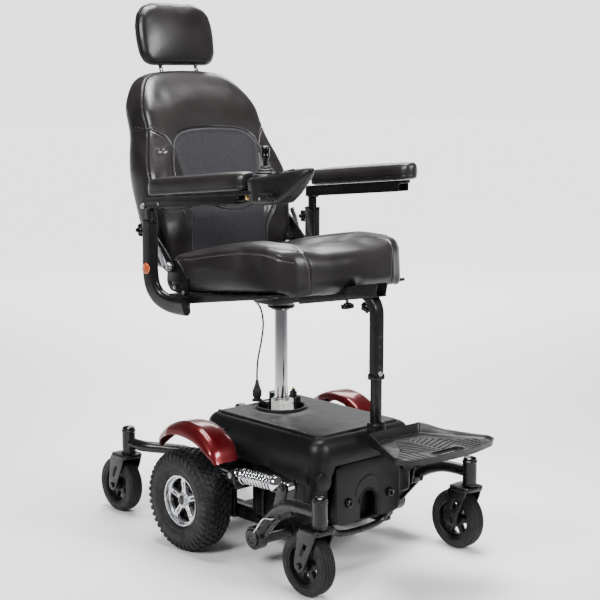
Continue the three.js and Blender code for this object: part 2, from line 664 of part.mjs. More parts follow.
function joystickPod() {
  const side = outline([[278, 912], [290, 901], [384, 909], [428, 944], [466, 984], [462, 993], [400, 982],
    [330, 966], [280, 961]]);
  const plan = outline([[276, -298], [320, -303], [380, -296], [440, -284], [468, -270], [468, -254],
    [440, -240], [380, -228], [320, -224], [276, -230]]);
  const body = common(sideSlab(side, -310, -215), planSlab(plan, 850, 1050));
  const bowl = new THREE.SphereGeometry(STICK.ball + 0.6, 16, 10).translate(STICK.x, STICK.y, STICK.z);
  const collar = turnedZ([[24, 0], [29.5, 0], [27, 7], [24, 7], [24, 0]], STICK.x, STICK.y, STICK.z - 3, 18);
  const button = upright(372, STICK.y, 964, 1000, 6.4, 14);
  const socket = rod([372, -290, 924], [372, -306.8, 922], 10, 16);
  const barRoom = armSlab(240, 392, -12, 9 + GAP, -299, -257);
  return cut(join(cut(body, bowl), collar, socket), button, barRoom);
}

function joystickBall() {
  return new THREE.SphereGeometry(STICK.ball, 16, 10).translate(STICK.x, STICK.y, STICK.z);
}

function joystickStick() {
  const r = STICK.ball + 0.6;
  const profile = [[0, r], [5, r], [5, r + 12], [9, r + 20], [11, r + 30], [9, r + 37], [0, r + 40]];
  return turnedZ(profile, STICK.x, STICK.y, STICK.z, 14);
}

function powerButton() {
  return turnedZ([[0, 0], [6, 0], [6, 11.5], [0, 12.5]], 372, STICK.y, 969.5, 14);
}

// ---------- back and headrest ----------

const BACK_ROD = 8;
const BACK_RODS = [[-160, 748], [-205, 808]];
const BACK_FRONT = [[-138, 706], [-141, 787], [-178, 932], [-218, 1056], [-262, 1140], [-300, 1190]];
const BACK_REAR = [[-362, 1210], [-386, 1180], [-368, 1120], [-330, 1040], [-294, 940], [-258, 800],
  [-238, 704]];

function backCushion() {
  const side = outline([...BACK_FRONT, [-322, 1208], ...BACK_REAR]);
  const right = [[208, 690], [229, 790], [235, 850], [240, 900], [239, 945], [222, 1010], [206, 1072],
    [203, 1108], [179, 1157], [146, 1193], [100, 1210], [50, 1215]];
  const left = right.map(([y, z]) => [-y, z]).reverse();
  const block = common(sideSlab(side, -250, 250), frontSlab(outline([...right, ...left]), -420, -100));
  const bores = SIDES.map(([, way]) => rod(headrestPost(way, -8), headrestPost(way, 150), HEAD_BORE + GAP, 12));
  const rodBores = BACK_RODS.map(([x, z]) => acrossY(x, z, -260, 260, BACK_ROD + GAP, 16));
  return cut(block, ...bores, ...rodBores);
}

// Two side arms on the recline pivots, joined by rods through the upholstered back.
function backFrame() {
  const arm = outline([[-85, 702], [-78, 716], [-88, 732], [-150, 790], [-190, 824], [-212, 824], [-221, 808],
    [-212, 792], [-170, 734], [-112, 704], [-98, 699]]);
  const arms = SIDES.map(([, side]) => sideSlab(arm, ...span(side, 237, 241.5)));
  const pivots = SIDES.map(([, side]) =>
    acrossY(BACK_PIVOT.x, BACK_PIVOT.z, side * 230, side * 250, PIVOT_PIN + GAP, 16));
  const rods = BACK_RODS.map(([x, z]) => acrossY(x, z, -239, 239, BACK_ROD, 16));
  return cut(join(...arms, ...rods), ...pivots);
}

const HEAD_POST = 5.5;
const HEAD_BORE = 6.1;
const HEAD_LEAN = THREE.MathUtils.degToRad(22);

// A point on a headrest post, counted upward from its lower end inside the back.
function headrestPost(side, distance) {
  return [-322 - Math.sin(HEAD_LEAN) * distance, 60 * side, 1112 + Math.cos(HEAD_LEAN) * distance];
}

function headrestPosts() {
  const posts = SIDES.map(([, side]) => rod(headrestPost(side, 0), headrestPost(side, 172), HEAD_POST, 14));
  const bridge = rod(headrestPost(-1, 168), headrestPost(1, 168), HEAD_POST, 14);
  return join(...posts, bridge);
}

function headrestPad() {
  const section = roundedRect(-40, 40, -86, 86, 30);
  const block = extrude(section, 252, 3).translate(0, 0, -126).rotateX(Math.PI / 2);
  block.rotateY(THREE.MathUtils.degToRad(-11)).translate(-401, 0, 1306);
  const front = new THREE.Shape();
  front.moveTo(-108, 1215);
  front.lineTo(108, 1215);
  front.lineTo(125, 1250);
  front.lineTo(125, 1330);
  front.quadraticCurveTo(114, 1400, 60, 1400);
  front.lineTo(-60, 1400);
  front.quadraticCurveTo(-114, 1400, -125, 1330);
  front.lineTo(-125, 1250);
  const room = [-1, 1].map((side) => rod(headrestPost(side, 90), headrestPost(side, 172.6), HEAD_BORE, 14));
  const bridgeRoom = rod(headrestPost(-1, 168), headrestPost(1, 168), HEAD_BORE, 14);
  const plan = outline([[-330, -112], [-362, -125], [-388, -124], [-424, -104], [-452, -70], [-452, 70],
    [-424, 104], [-388, 124], [-362, 125], [-330, 112]]);
  const pad = common(common(block, frontSlab(front, -480, -320)), planSlab(plan, 1150, 1450));
  return cut(pad, ...room, bridgeRoom);
}

// ---------- footrest ----------

function bendStart() {
  const x = HANGER.x - HANGER.bend * (1 + Math.sin(RECEIVER_TILT));
  return new THREE.Vector2(x, receiverBottom(x) + 16);
}

const bendHeight = () => bendStart().y - HANGER.bend * Math.cos(RECEIVER_TILT);

function hangerCurve() {
  const start = bendStart();
  const centre = new THREE.Vector2(HANGER.x - HANGER.bend, bendHeight());
  const rear = start.clone().sub(new THREE.Vector2(Math.cos(RECEIVER_TILT), Math.sin(RECEIVER_TILT))
    .multiplyScalar(start.x - 176));
  const points = [new THREE.Vector3(rear.x, 0, rear.y)];
  const steps = 8;
  for (let i = 0; i <= steps; i += 1) {
    const angle = Math.PI / 2 + RECEIVER_TILT - ((Math.PI / 2 + RECEIVER_TILT) * i) / steps;
    points.push(new THREE.Vector3(centre.x + HANGER.bend * Math.cos(angle), 0,
      centre.y + HANGER.bend * Math.sin(angle)));
  }
  points.push(new THREE.Vector3(HANGER.x, 0, HANGER.bottom));
  return points;
}

// A point on the inner side of the bend, at a distance from its surface toward the bend's centre.
function bendInside(distance) {
  const inward = new THREE.Vector3(-Math.SQRT1_2, 0, -Math.SQRT1_2);
  const middle = new THREE.Vector3(HANGER.x - HANGER.bend, 0, bendHeight());
  return middle.addScaledVector(inward, distance + HANGER.halfX - HANGER.bend).toArray();
}

// Sweeps a side outline of constant thickness along the bent hanger line.
function hangerBand(half, y0, y1) {
  const points = hangerCurve();
  const left = [];
  const right = [];
  points.forEach((point, i) => {
    const before = points[Math.max(i - 1, 0)];
    const after = points[Math.min(i + 1, points.length - 1)];
    const aim = after.clone().sub(before).normalize();
    left.push([point.x - aim.z * half, point.z + aim.x * half]);
    right.unshift([point.x + aim.z * half, point.z - aim.x * half]);
  });
  return sideSlab(outline([...left, ...right]), y0, y1);
}

function footrestHanger() {
  const outer = hangerBand(HANGER.halfX, -HANGER.halfY, HANGER.halfY);
  const core = box(HANGER.x - 10, HANGER.x + 10, -12.5, 12.5, HANGER.bottom - 5, 618);
  const holes = [500, 525, 550, 575].map((z) => rod([HANGER.x - 30, 0, z], [HANGER.x + 30, 0, z], 4, 12));
  const socket = rod(bendInside(2), bendInside(-8), KNOB_HOLE, 8);
  return cut(outer, core, ...holes, socket);
}

function footPost() {
  const blade = box(HANGER.x - 9.6, HANGER.x + 9.6, -12, 12, 330, 570);
  const clamp = box(HANGER.x - 14, HANGER.x + 16, -20, 20, 326, 362);
  const tongue = box(HANGER.x, FOOT_HINGE.x, -20, 20, 326, 340);
  const knuckle = acrossY(FOOT_HINGE.x, FOOT_HINGE.z, -20, 20, 9, 14);
  const pin = acrossY(FOOT_HINGE.x, FOOT_HINGE.z, -58, 58, FOOT_HINGE.pin, 12);
  return join(blade, clamp, tongue, knuckle, pin);
}

function footplateShape(inset) {
  const shape = new THREE.Shape();
  shape.moveTo(470 + inset, inset - 88);
  shape.lineTo(520, inset - 106);
  shape.lineTo(626, inset - 158);
  shape.quadraticCurveTo(668 - inset, inset - 160, 674 - inset, -108);
  shape.quadraticCurveTo(702 - inset, 0, 674 - inset, 108);
  shape.quadraticCurveTo(668 - inset, 160 - inset, 626, 158 - inset);
  shape.lineTo(520, 106 - inset);
  shape.lineTo(470 + inset, 88 - inset);
  return shape;
}

function footplate() {
  const tray = planSlab(footplateShape(0), 328, 352, 4);
  const dish = planSlab(footplateShape(7), 336, 360, 4);
  const open = box(500, 720, -180, 180, 343, 360);
  const slot = planSlab(roundedRect(632, 656, -48, 48, 11), 320, 350, 2);
  const ribs = [-1, 1].flatMap((side) => [510, 540, 570, 600].map((x) =>
    rod([x + 22, 6 * side, 335], [x - 4, 76 * side, 335], 3, 8)));
  const knuckles = [-1, 1].map((side) => {
    const [y0, y1] = span(side, 22, 54);
    return join(acrossY(FOOT_HINGE.x, FOOT_HINGE.z, y0, y1, 9, 14), box(FOOT_HINGE.x, 482, y0, y1, 327, 339));
  });
  const bores = [-1, 1].map((side) =>
    acrossY(FOOT_HINGE.x, FOOT_HINGE.z, 20 * side, 60 * side, FOOT_HINGE.pin + GAP, 12));
  return cut(join(cut(tray, dish, open), ...ribs, ...knuckles), slot, ...bores);
}

// ---------- assembly ----------

add('main_frame', mainFrame(), PAINT);
add('batteries', batteries(), BLACK_PLASTIC);
add('controller_box', controllerBox(), SILVER);
add('hood', hood(), BLACK_PLASTIC);
add('front_cover', frontCover(), BLACK_PLASTIC);
add('lift_housing', liftHousing(), WHITE_PLASTIC);
add('lift_ram', liftRam(), CHROME);
add('cable_plug', cablePlug(), BLACK_PLASTIC);
add('seat_cable', seatCable(), RUBBER);
add('seat_frame', seatFrame(), PAINT);
add('seat_cushion', seatCushion(), LEATHER);
add('back_frame', backFrame(), SILVER);
add('back_cushion', backCushion(), LEATHER);
add('headrest_posts', headrestPosts(), CHROME);
add('headrest_pad', headrestPad(), LEATHER);
add('joystick_pod', joystickPod(), BLACK_PLASTIC);
add('joystick_boot', joystickBall(), RUBBER);
add('joystick_stick', joystickStick(), BLACK_PLASTIC);
add('power_button', powerButton(), WHITE_PLASTIC);
add('footrest_hanger', footrestHanger(), PAINT);
add('foot_post', footPost(), PAINT);
add('footplate', footplate(), BLACK_PLASTIC);

for (const [name, side] of SIDES) {
  const armFront = side < 0 ? 388 : 232;
  const webFront = side < 0 ? 240 : 226;
  const padFront = side < 0 ? 271 : 268;
  add(`motor_${name}`, gearmotor(side), SILVER);
  add(`fender_${name}`, fender(side), RED_GLOSS);
  add(`front_arm_${name}`, frontArm(side), PAINT);
  add(`shock_body_${name}`, shockBody(side), CHROME);
  add(`shock_rod_${name}`, shockRod(side), CHROME);
  add(`shock_spring_${name}`, shockSpring(side), CHROME);
  add(`drive_tyre_${name}`, driveTyre(side), RUBBER);
  add(`drive_rim_${name}`, driveRim(side), SILVER);
  for (const [end, stem] of [['front', FRONT_STEM], ['rear', REAR_STEM]]) {
    add(`${end}_fork_${name}`, casterFork(stem, side), PAINT);
    add(`${end}_caster_${name}`, casterWheel(stem, side), RUBBER);
  }
  add(`armrest_post_${name}`, armrestPost(side), PAINT);
  add(`reflector_${name}`, reflector(side), AMBER);
  add(`armrest_stem_${name}`, armrestStem(side), PAINT);
  add(`armrest_bar_${name}`, armrestBar(side, armFront, webFront), PAINT);
  add(`armrest_pad_${name}`, armrestPad(side, padFront), LEATHER);
  add(`armrest_knob_${name}`, starKnob([POST.x - 13, POST.y * side, 806], 17, 16, [-1, 0, 0]), BLACK_PLASTIC);
}
add('footrest_knob_rear', starKnob(receiverPoint(3.2), 17, 13, receiverDown), BLACK_PLASTIC);
add('footrest_knob_front', starKnob(bendInside(-7.5), 15, 18, [-1, 0, -1]), BLACK_PLASTIC);

export default chair;
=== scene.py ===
"""The visual model of a power wheelchair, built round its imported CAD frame.

Blender works in metres in the row frame. The builders below take millimetres counted from the
ground under the drive axle: +X forward, +Y to the rider's left, +Z up.
"""
import math

import bmesh
import bpy
import numpy as np
from mathutils import Matrix, Vector
from mathutils.bvhtree import BVHTree
from mathutils.kdtree import KDTree


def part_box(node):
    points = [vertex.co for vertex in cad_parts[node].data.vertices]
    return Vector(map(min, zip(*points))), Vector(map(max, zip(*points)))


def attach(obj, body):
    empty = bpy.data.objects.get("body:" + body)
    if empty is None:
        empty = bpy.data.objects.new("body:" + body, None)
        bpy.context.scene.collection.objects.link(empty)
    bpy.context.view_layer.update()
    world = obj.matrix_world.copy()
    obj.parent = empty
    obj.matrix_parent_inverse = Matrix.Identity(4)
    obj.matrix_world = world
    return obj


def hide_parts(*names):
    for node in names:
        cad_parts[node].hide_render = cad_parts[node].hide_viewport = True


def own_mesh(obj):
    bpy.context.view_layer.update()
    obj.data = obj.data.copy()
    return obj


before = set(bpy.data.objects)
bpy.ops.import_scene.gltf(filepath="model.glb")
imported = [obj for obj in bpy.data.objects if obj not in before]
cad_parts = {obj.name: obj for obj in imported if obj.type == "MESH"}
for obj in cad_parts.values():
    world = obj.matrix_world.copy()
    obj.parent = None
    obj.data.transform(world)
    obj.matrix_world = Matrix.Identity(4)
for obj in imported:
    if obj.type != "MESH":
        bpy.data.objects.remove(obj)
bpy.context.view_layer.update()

MM = 0.001
SIDES = (("right", -1), ("left", 1))


def middle(node):
    low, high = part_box(node)
    return (Vector(low) + Vector(high)) / 2


AXLE_X = middle("drive_tyre_left").x


def at(x, y, z):
    """A point in the row frame, in metres, from millimetres counted from the drive axle's foot."""
    return Vector((x * MM + AXLE_X, y * MM, z * MM))


# ---------- driving dimensions, as in the CAD ----------

DRIVE_R, DRIVE_W, DRIVE_Y, RIM_R = 130, 84, 258, 67
CASTER_R, CASTER_W, TRAIL = 76, 46, 38
STEMS = {"front": (488, 258), "rear": (-347, 200)}
CROWN_TOP, STEM_TOP = 168, 236
HOOD_HALF, HOOD_REAR, HOOD_FRONT, HOOD_CORNER = 171, -62, 385, 42
COLUMN_X = 61
PIVOT_X, PIVOT_Z, PIVOT_R = 243, 84, 21
POST_X, POST_Y = -124, 278.5
SEAT_SLOPE = math.tan(math.radians(5.5))
RECEIVER_TILT = math.radians(10)
HEAD_LEAN = math.radians(22)
STICK = Vector((306, -262, 962))
SHOCK_REAR, SHOCK_FRONT, SHOCK_Y = Vector((147, 0, 219)), Vector((342, 0, 230)), 225
RECLINE_X, RECLINE_Z = -95, 715
ARM_PIVOT_Z = 870
FLIP_X, FLIP_Z = 452, 333
PLUG_X = -37
PAD_Y, PAD_FRONT = 275, {"right": 271, "left": 268}
SIDE_OF = dict(SIDES)


def seat_underside(x):
    return 661 + (x - 68) * SEAT_SLOPE


def arm_line(x):
    return 884 + (x - POST_X) * SEAT_SLOPE


def receiver_floor(x):
    return 624 + (x - 154) * math.tan(RECEIVER_TILT)


# ---------- mesh builders: each returns (vertices, faces) in millimetres ----------

# Where a builder's own coordinates go: a lathe's by the axis it turns about, a plate's by its plane.
LATHE_ORDER = {"X": (2, 0, 1), "Y": (1, 2, 0), "Z": (0, 1, 2)}
PLANE_ORDER = {"side": (0, 2, 1), "front": (2, 0, 1), "plan": (0, 1, 2)}
CURVE_STEPS = 24


def lathe(profile, centre, axis="Y", steps=64):
    """Turns [radius, height] points about an axis; a profile that ends on the axis is capped."""
    verts, faces, rows = [], [], []
    for radius, height in profile:
        if radius < 1e-6:
            rows.append([len(verts)])
            verts.append((0.0, 0.0, height))
            continue
        rows.append(range(len(verts), len(verts) + steps))
        for i in range(steps):
            a = 2 * math.pi * i / steps
            verts.append((radius * math.cos(a), radius * math.sin(a), height))
    for low, high in zip(rows, rows[1:]):
        for i in range(steps):
            j = (i + 1) % steps
            if len(low) == 1:
                faces.append((low[0], high[i], high[j]))
            elif len(high) == 1:
                faces.append((low[i], low[j], high[0]))
            else:
                faces.append((low[i], low[j], high[j], high[i]))
    order = LATHE_ORDER[axis]
    return [Vector([v[k] for k in order]) + Vector(centre) for v in verts], faces


def drum(radius, low, high, centre, axis="Y", edge=1.2, steps=48):
    """A closed cylinder with rounded rims, between two heights along its axis."""
    profile = [(0, low), (radius - edge, low), (radius - edge * 0.3, low + edge * 0.3),
               (radius, low + edge), (radius, high - edge), (radius - edge * 0.3, high - edge * 0.3),
               (radius - edge, high), (0, high)]
    return lathe(profile, centre, axis, steps)


def ring(outer, inner, low, high, centre, axis="Y", edge=1.0, steps=64):
    """A closed washer or sleeve with eased edges."""
    profile = [(inner, low + edge), (inner + edge, low), (outer - edge, low), (outer, low + edge),
               (outer, high - edge), (outer - edge, high), (inner + edge, high), (inner, high - edge),
               (inner, low + edge)]
    return lathe(profile, centre, axis, steps)


def smooth_path(points, count):
    """Centripetal Catmull-Rom through the points, evenly resampled."""
    pts = [Vector(p) for p in points]
    pts = [2 * pts[0] - pts[1]] + pts + [2 * pts[-1] - pts[-2]]
    fine = []
    for a, b, c, d in zip(pts, pts[1:], pts[2:], pts[3:]):
        t0, t1 = 0.0, math.sqrt((b - a).length)
        t2 = t1 + math.sqrt((c - b).length)
        t3 = t2 + math.sqrt((d - c).length)
        for k in range(CURVE_STEPS):
            t = t1 + (t2 - t1) * k / CURVE_STEPS
            a1 = a * ((t1 - t) / (t1 - t0)) + b * ((t - t0) / (t1 - t0))
            a2 = b * ((t2 - t) / (t2 - t1)) + c * ((t - t1) / (t2 - t1))
            a3 = c * ((t3 - t) / (t3 - t2)) + d * ((t - t2) / (t3 - t2))
            b1 = a1 * ((t2 - t) / (t2 - t0)) + a2 * ((t - t0) / (t2 - t0))
            b2 = a2 * ((t3 - t) / (t3 - t1)) + a3 * ((t - t1) / (t3 - t1))
            fine.append(b1 * ((t2 - t) / (t2 - t1)) + b2 * ((t - t1) / (t2 - t1)))
    fine.append(pts[-2])
    return resample(fine, count)


def resample(line, count):
    """count points evenly spaced along a polyline."""
    lengths = [0.0]
    for a, b in zip(line, line[1:]):
        lengths.append(lengths[-1] + (b - a).length)
    out, k = [], 0
    for i in range(count):
        want = lengths[-1] * i / (count - 1)
        while k < len(line) - 2 and lengths[k + 1] < want:
            k += 1
        share = (want - lengths[k]) / max(lengths[k + 1] - lengths[k], 1e-9)
        out.append(line[k].lerp(line[k + 1], min(max(share, 0.0), 1.0)))
    return out


def round_section(radius, sides=20):
    return [(radius * math.cos(2 * math.pi * i / sides), radius * math.sin(2 * math.pi * i / sides))
            for i in range(sides)]


def box_section(half_u, half_v, corner, steps=4):
    """A rectangle with round corners, centred on the path."""
    out = []
    for quarter, (cu, cv) in enumerate(((1, 1), (-1, 1), (-1, -1), (1, -1))):
        for k in range(steps + 1):
            a = math.pi / 2 * (quarter + k / steps)
            out.append((cu * (half_u - corner) + corner * math.cos(a),
                        cv * (half_v - corner) + corner * math.sin(a)))
    return out


def sweep(line, section, up=(0, 1, 0), scale=None, capped=True, closed=False):
    """Carries a section along a line of points; u lies along `up` as closely as the line allows."""
    line = [Vector(p) for p in line]
    count, sides = len(line), len(section)
    verts, faces = [], []
    side = Vector(up)
    for i, p in enumerate(line):
        before = line[i - 1] if i or closed else line[0]
        after = line[(i + 1) % count] if i + 1 < count or closed else line[-1]
        aim = (after - before).normalized()
        side = (side - aim * side.dot(aim)).normalized()
        across = aim.cross(side)
        size = scale(i / (count - 1)) if scale else 1.0
        verts += [p + (side * u + across * v) * size for u, v in section]
    for i in range(count if closed else count - 1):
        a, b = i * sides, ((i + 1) % count) * sides
        for k in range(sides):
            n = (k + 1) % sides
            faces.append((a + k, a + n, b + n, b + k))
    if capped and not closed:
        faces.append(tuple(reversed(range(sides))))
        faces.append(tuple(range((count - 1) * sides, count * sides)))
    return verts, faces


def tube(points, radius, count=40, sides=20, **more):
    return sweep(smooth_path(points, count), round_section(radius, sides), **more)


def bar(a, b, radius, edge=0.8, steps=24):
    """A round bar with eased ends between two points."""
    a, b = Vector(a), Vector(b)
    length = (b - a).length
    turn = (b - a).to_track_quat("Z", "Y").to_matrix()
    verts, faces = drum(radius, 0, length, (0, 0, 0), "Z", edge, steps)
    return [turn @ v + a for v in verts], faces


def from_bmesh(bm):
    bm.verts.ensure_lookup_table()
    out = [v.co.copy() for v in bm.verts], [tuple(v.index for v in f.verts) for f in bm.faces]
    bm.free()
    return out


def block(x0, x1, y0, y1, z0, z1, edge=1.5, segments=3):
    """A box with rounded edges."""
    bm = bmesh.new()
    bmesh.ops.create_cube(bm, size=1)
    for v in bm.verts:
        v.co = Vector(((x0 + x1) / 2 + v.co.x * (x1 - x0), (y0 + y1) / 2 + v.co.y * (y1 - y0),
                       (z0 + z1) / 2 + v.co.z * (z1 - z0)))
    edge = min(edge, 0.45 * min(x1 - x0, abs(y1 - y0), z1 - z0))
    bmesh.ops.bevel(bm, geom=bm.edges[:], offset=edge, segments=segments, profile=0.5, affect="EDGES")
    bmesh.ops.recalc_face_normals(bm, faces=bm.faces[:])
    return from_bmesh(bm)


def plate(outlines, plane, low, high, edge=1.2):
    """Flat stock from closed outlines (the first is the rim, the rest are holes), with rounded edges."""
    curve = bpy.data.curves.new("plate", "CURVE")
    curve.dimensions = "2D"
    curve.fill_mode = "BOTH"
    edge = min(edge, (high - low) * 0.45)
    curve.extrude = (high - low) / 2 - edge
    curve.bevel_depth = edge
    curve.bevel_resolution = 2
    curve.offset = -edge
    for points in outlines:
        spline = curve.splines.new("POLY")
        spline.points.add(len(points) - 1)
        for point, (u, v) in zip(spline.points, points):
            point.co = (u, v, 0, 1)
        spline.use_cyclic_u = True
    holder = bpy.data.objects.new("plate", curve)
    mesh = bpy.data.meshes.new_from_object(holder)
    order = PLANE_ORDER[plane]
    bm = bmesh.new()
    bm.from_mesh(mesh)
    bmesh.ops.remove_doubles(bm, verts=bm.verts[:], dist=0.01)
    for v in bm.verts:
        spot = (v.co.x, v.co.y, v.co.z + (low + high) / 2)
        v.co = [spot[k] for k in order]
    bmesh.ops.recalc_face_normals(bm, faces=bm.faces[:])
    bpy.data.objects.remove(holder)
    bpy.data.curves.remove(curve)
    bpy.data.meshes.remove(mesh)
    return from_bmesh(bm)


def circle(u, v, radius, steps=32):
    return [(u + radius * math.cos(2 * math.pi * i / steps), v + radius * math.sin(2 * math.pi * i / steps))
            for i in range(steps)]


def rounded(u0, u1, v0, v1, radius, steps=6):
    cu, cv = (u0 + u1) / 2, (v0 + v1) / 2
    return [(cu + u, cv + v) for u, v in box_section((u1 - u0) / 2, (v1 - v0) / 2, radius, steps)]


def eased(points, radius, steps=5):
    """Rounds every corner of a polygon."""
    out = []
    pts = [Vector(p) for p in points]
    for before, corner, after in zip([pts[-1]] + pts[:-1], pts, pts[1:] + [pts[0]]):
        a, b = before - corner, after - corner
        cutback = min(radius, a.length * 0.45, b.length * 0.45)
        start, end = corner + a.normalized() * cutback, corner + b.normalized() * cutback
        for k in range(steps + 1):
            t = k / steps
            out.append(tuple(start * (1 - t) ** 2 + corner * (2 * t * (1 - t)) + end * t ** 2))
    return out


def span(side, inner, outer):
    """An inner-to-outer Y interval on the chosen side, low end first."""
    return (inner, outer) if side > 0 else (-outer, -inner)


def mirrored(part, side):
    """The part on the left side as it is, or its mirror image on the right."""
    verts, faces = part
    if side > 0:
        return part
    return [Vector((v[0], -v[1], v[2])) for v in verts], [tuple(reversed(f)) for f in faces]


# ---------- pieces ----------

def piece(name, parts, material, body, replaces=(), angle=35, levels=0):
    """One object from (vertices, faces) parts in millimetres, riding on a CAD body."""
    if isinstance(parts, tuple):
        parts = [parts]
    verts, faces = [], []
    for part_verts, part_faces in parts:
        first = len(verts)
        verts += [at(*v) for v in part_verts]
        faces += [tuple(first + i for i in f) for f in part_faces]
    mesh = bpy.data.meshes.new(name)
    mesh.from_pydata(verts, [], faces)
    mesh.validate()
    mesh.update()
    obj = bpy.data.objects.new(name, mesh)
    bpy.context.scene.collection.objects.link(obj)
    return finish_piece(obj, material, body, replaces, angle, levels)


def finish_piece(obj, material, body, replaces=(), angle=35, levels=0):
    mesh = obj.data
    bm = bmesh.new()
    bm.from_mesh(mesh)
    bmesh.ops.recalc_face_normals(bm, faces=bm.faces[:])
    bm.to_mesh(mesh)
    bm.free()
    if not mesh.materials:
        mesh.materials.append(material)
    mesh.shade_smooth()
    mesh.set_sharp_from_angle(angle=math.radians(angle))
    if levels:
        subdivide = obj.modifiers.new("subdivide", "SUBSURF")
        subdivide.levels = subdivide.render_levels = levels
    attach(obj, body)
    if replaces:
        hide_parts(*([replaces] if isinstance(replaces, str) else replaces))
    return obj


def dress(node, material, edge=1.0, angle=35):
    """Keeps a CAD node: rounds its edges and gives it a material."""
    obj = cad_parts[node]
    obj.data.materials.clear()
    obj.data.materials.append(material)
    obj.data.shade_smooth()
    weld = obj.modifiers.new("weld", "WELD")
    weld.merge_threshold = 1e-5
    rounding = obj.modifiers.new("rounding", "BEVEL")
    rounding.width = edge * MM
    rounding.segments = 2
    rounding.angle_limit = math.radians(angle)
    rounding.harden_normals = True
    return obj


# ---------- materials ----------

def node_link(mat, from_node, output, to_node, socket):
    mat.node_tree.links.new(from_node.outputs[output], to_node.inputs[socket])


def surface(name, colour, roughness, metallic=0.0, mottle=(0, 0.0), rough_mottle=(0, 0.0),
            bumps=(), **sockets):
    """A procedural surface: colour and roughness broken up by noise, and layered bump.

    mottle and rough_mottle are (noise scale, amount). A bump is (kind, scale, strength, depth in mm), and
    its kind is noise, grain, or the axis of a woven band. sockets are further shader inputs.
    """
    mat = bpy.data.materials.new(name)
    mat.use_nodes = True
    nodes = mat.node_tree.nodes
    shader = nodes["Principled BSDF"]
    shader.inputs["Base Color"].default_value = (*colour, 1)
    shader.inputs["Roughness"].default_value = roughness
    shader.inputs["Metallic"].default_value = metallic
    for socket, value in sockets.items():
        shader.inputs[socket.replace("_", " ")].default_value = value
    place = nodes.new("ShaderNodeTexCoord")

    def noise(scale, detail=4.0):
        node = nodes.new("ShaderNodeTexNoise")
        node.inputs["Scale"].default_value = scale
        node.inputs["Detail"].default_value = detail
        node_link(mat, place, "Object", node, "Vector")
        return node

    if mottle[0]:
        mix = nodes.new("ShaderNodeMix")
        mix.data_type = "RGBA"
        mix.inputs["A"].default_value = (*colour, 1)
        other = tuple(min(1.0, c * (1 + mottle[1]) + 0.004) for c in colour)
        mix.inputs["B"].default_value = (*other, 1)
        spread = nodes.new("ShaderNodeMapRange")
        spread.inputs["From Min"].default_value = 0.35
        spread.inputs["From Max"].default_value = 0.7
        node_link(mat, noise(mottle[0]), "Fac", spread, "Value")
        node_link(mat, spread, "Result", mix, "Factor")
        node_link(mat, mix, "Result", shader, "Base Color")
    if rough_mottle[0]:
        spread = nodes.new("ShaderNodeMapRange")
        spread.inputs["From Min"].default_value = 0.3
        spread.inputs["From Max"].default_value = 0.7
        spread.inputs["To Min"].default_value = max(0.02, roughness - rough_mottle[1])
        spread.inputs["To Max"].default_value = min(1.0, roughness + rough_mottle[1])
        node_link(mat, noise(rough_mottle[0]), "Fac", spread, "Value")
        node_link(mat, spread, "Result", shader, "Roughness")
    last = None
    for kind, scale, strength, depth in bumps:
        if kind == "noise":
            source, output = noise(scale, 6.0), "Fac"
        elif kind == "grain":
            source, output = nodes.new("ShaderNodeTexVoronoi"), "Distance"
            source.feature = "DISTANCE_TO_EDGE"
            source.inputs["Scale"].default_value = scale
            node_link(mat, place, "Object", source, "Vector")
        else:
            source, output = nodes.new("ShaderNodeTexWave"), "Fac"
            source.bands_direction = kind
            source.inputs["Scale"].default_value = scale
            source.inputs["Distortion"].default_value = 0.6
            node_link(mat, place, "Object", source, "Vector")
        bump = nodes.new("ShaderNodeBump")
        bump.inputs["Strength"].default_value = strength
        bump.inputs["Distance"].default_value = depth * MM
        node_link(mat, source, output, bump, "Height")
        if last:
            node_link(mat, last, "Normal", bump, "Normal")
        last = bump
    if last:
        node_link(mat, last, "Normal", shader, "Normal")
    return mat


PAINT = surface("satin_black_paint", (0.0045, 0.0045, 0.0048), 0.27, mottle=(9, 0.5),
                rough_mottle=(20, 0.03), bumps=[("noise", 900, 0.08, 0.06)], Specular_IOR_Level=0.35)
PLASTIC = surface("textured_black_plastic", (0.0042, 0.0042, 0.0045), 0.38, mottle=(7, 0.5),
                  rough_mottle=(45, 0.06), bumps=[("noise", 1500, 0.12, 0.08)], Specular_IOR_Level=0.3)
HOOD_SHELL = surface("hood_plastic", (0.0045, 0.0045, 0.0047), 0.40, mottle=(5, 0.6),
                     rough_mottle=(30, 0.05), bumps=[("noise", 1800, 0.1, 0.07)], Specular_IOR_Level=0.22)
SMOOTH_PLASTIC = surface("smooth_black_plastic", (0.004, 0.004, 0.0043), 0.2, rough_mottle=(40, 0.05),
                         bumps=[("noise", 300, 0.08, 0.1)], Specular_IOR_Level=0.35)
LEATHER = surface("black_leather", (0.0082, 0.0068, 0.0068), 0.33, mottle=(11, 0.7), rough_mottle=(9, 0.03),
                  bumps=[("grain", 520, 0.08, 0.2), ("noise", 30, 0.05, 1.2), ("noise", 1100, 0.05, 0.1)],
                  Specular_IOR_Level=0.42)
FABRIC = surface("charcoal_fabric", (0.0125, 0.0125, 0.0150), 0.92, mottle=(260, 0.7),
                 rough_mottle=(120, 0.05), bumps=[("Y", 190, 0.35, 0.5), ("Z", 190, 0.35, 0.5),
                                                  ("noise", 900, 0.3, 0.3)], Sheen_Weight=0.12,
                 Sheen_Roughness=0.5, Specular_IOR_Level=0.2)
CHROME = surface("polished_chrome", (0.80, 0.81, 0.83), 0.09, 1.0, rough_mottle=(25, 0.04),
                 bumps=[("noise", 60, 0.03, 0.1)])
SILVER = surface("satin_alloy", (0.60, 0.61, 0.63), 0.27, 0.92, mottle=(30, 0.1), rough_mottle=(80, 0.04),
                 bumps=[("noise", 700, 0.03, 0.05)])
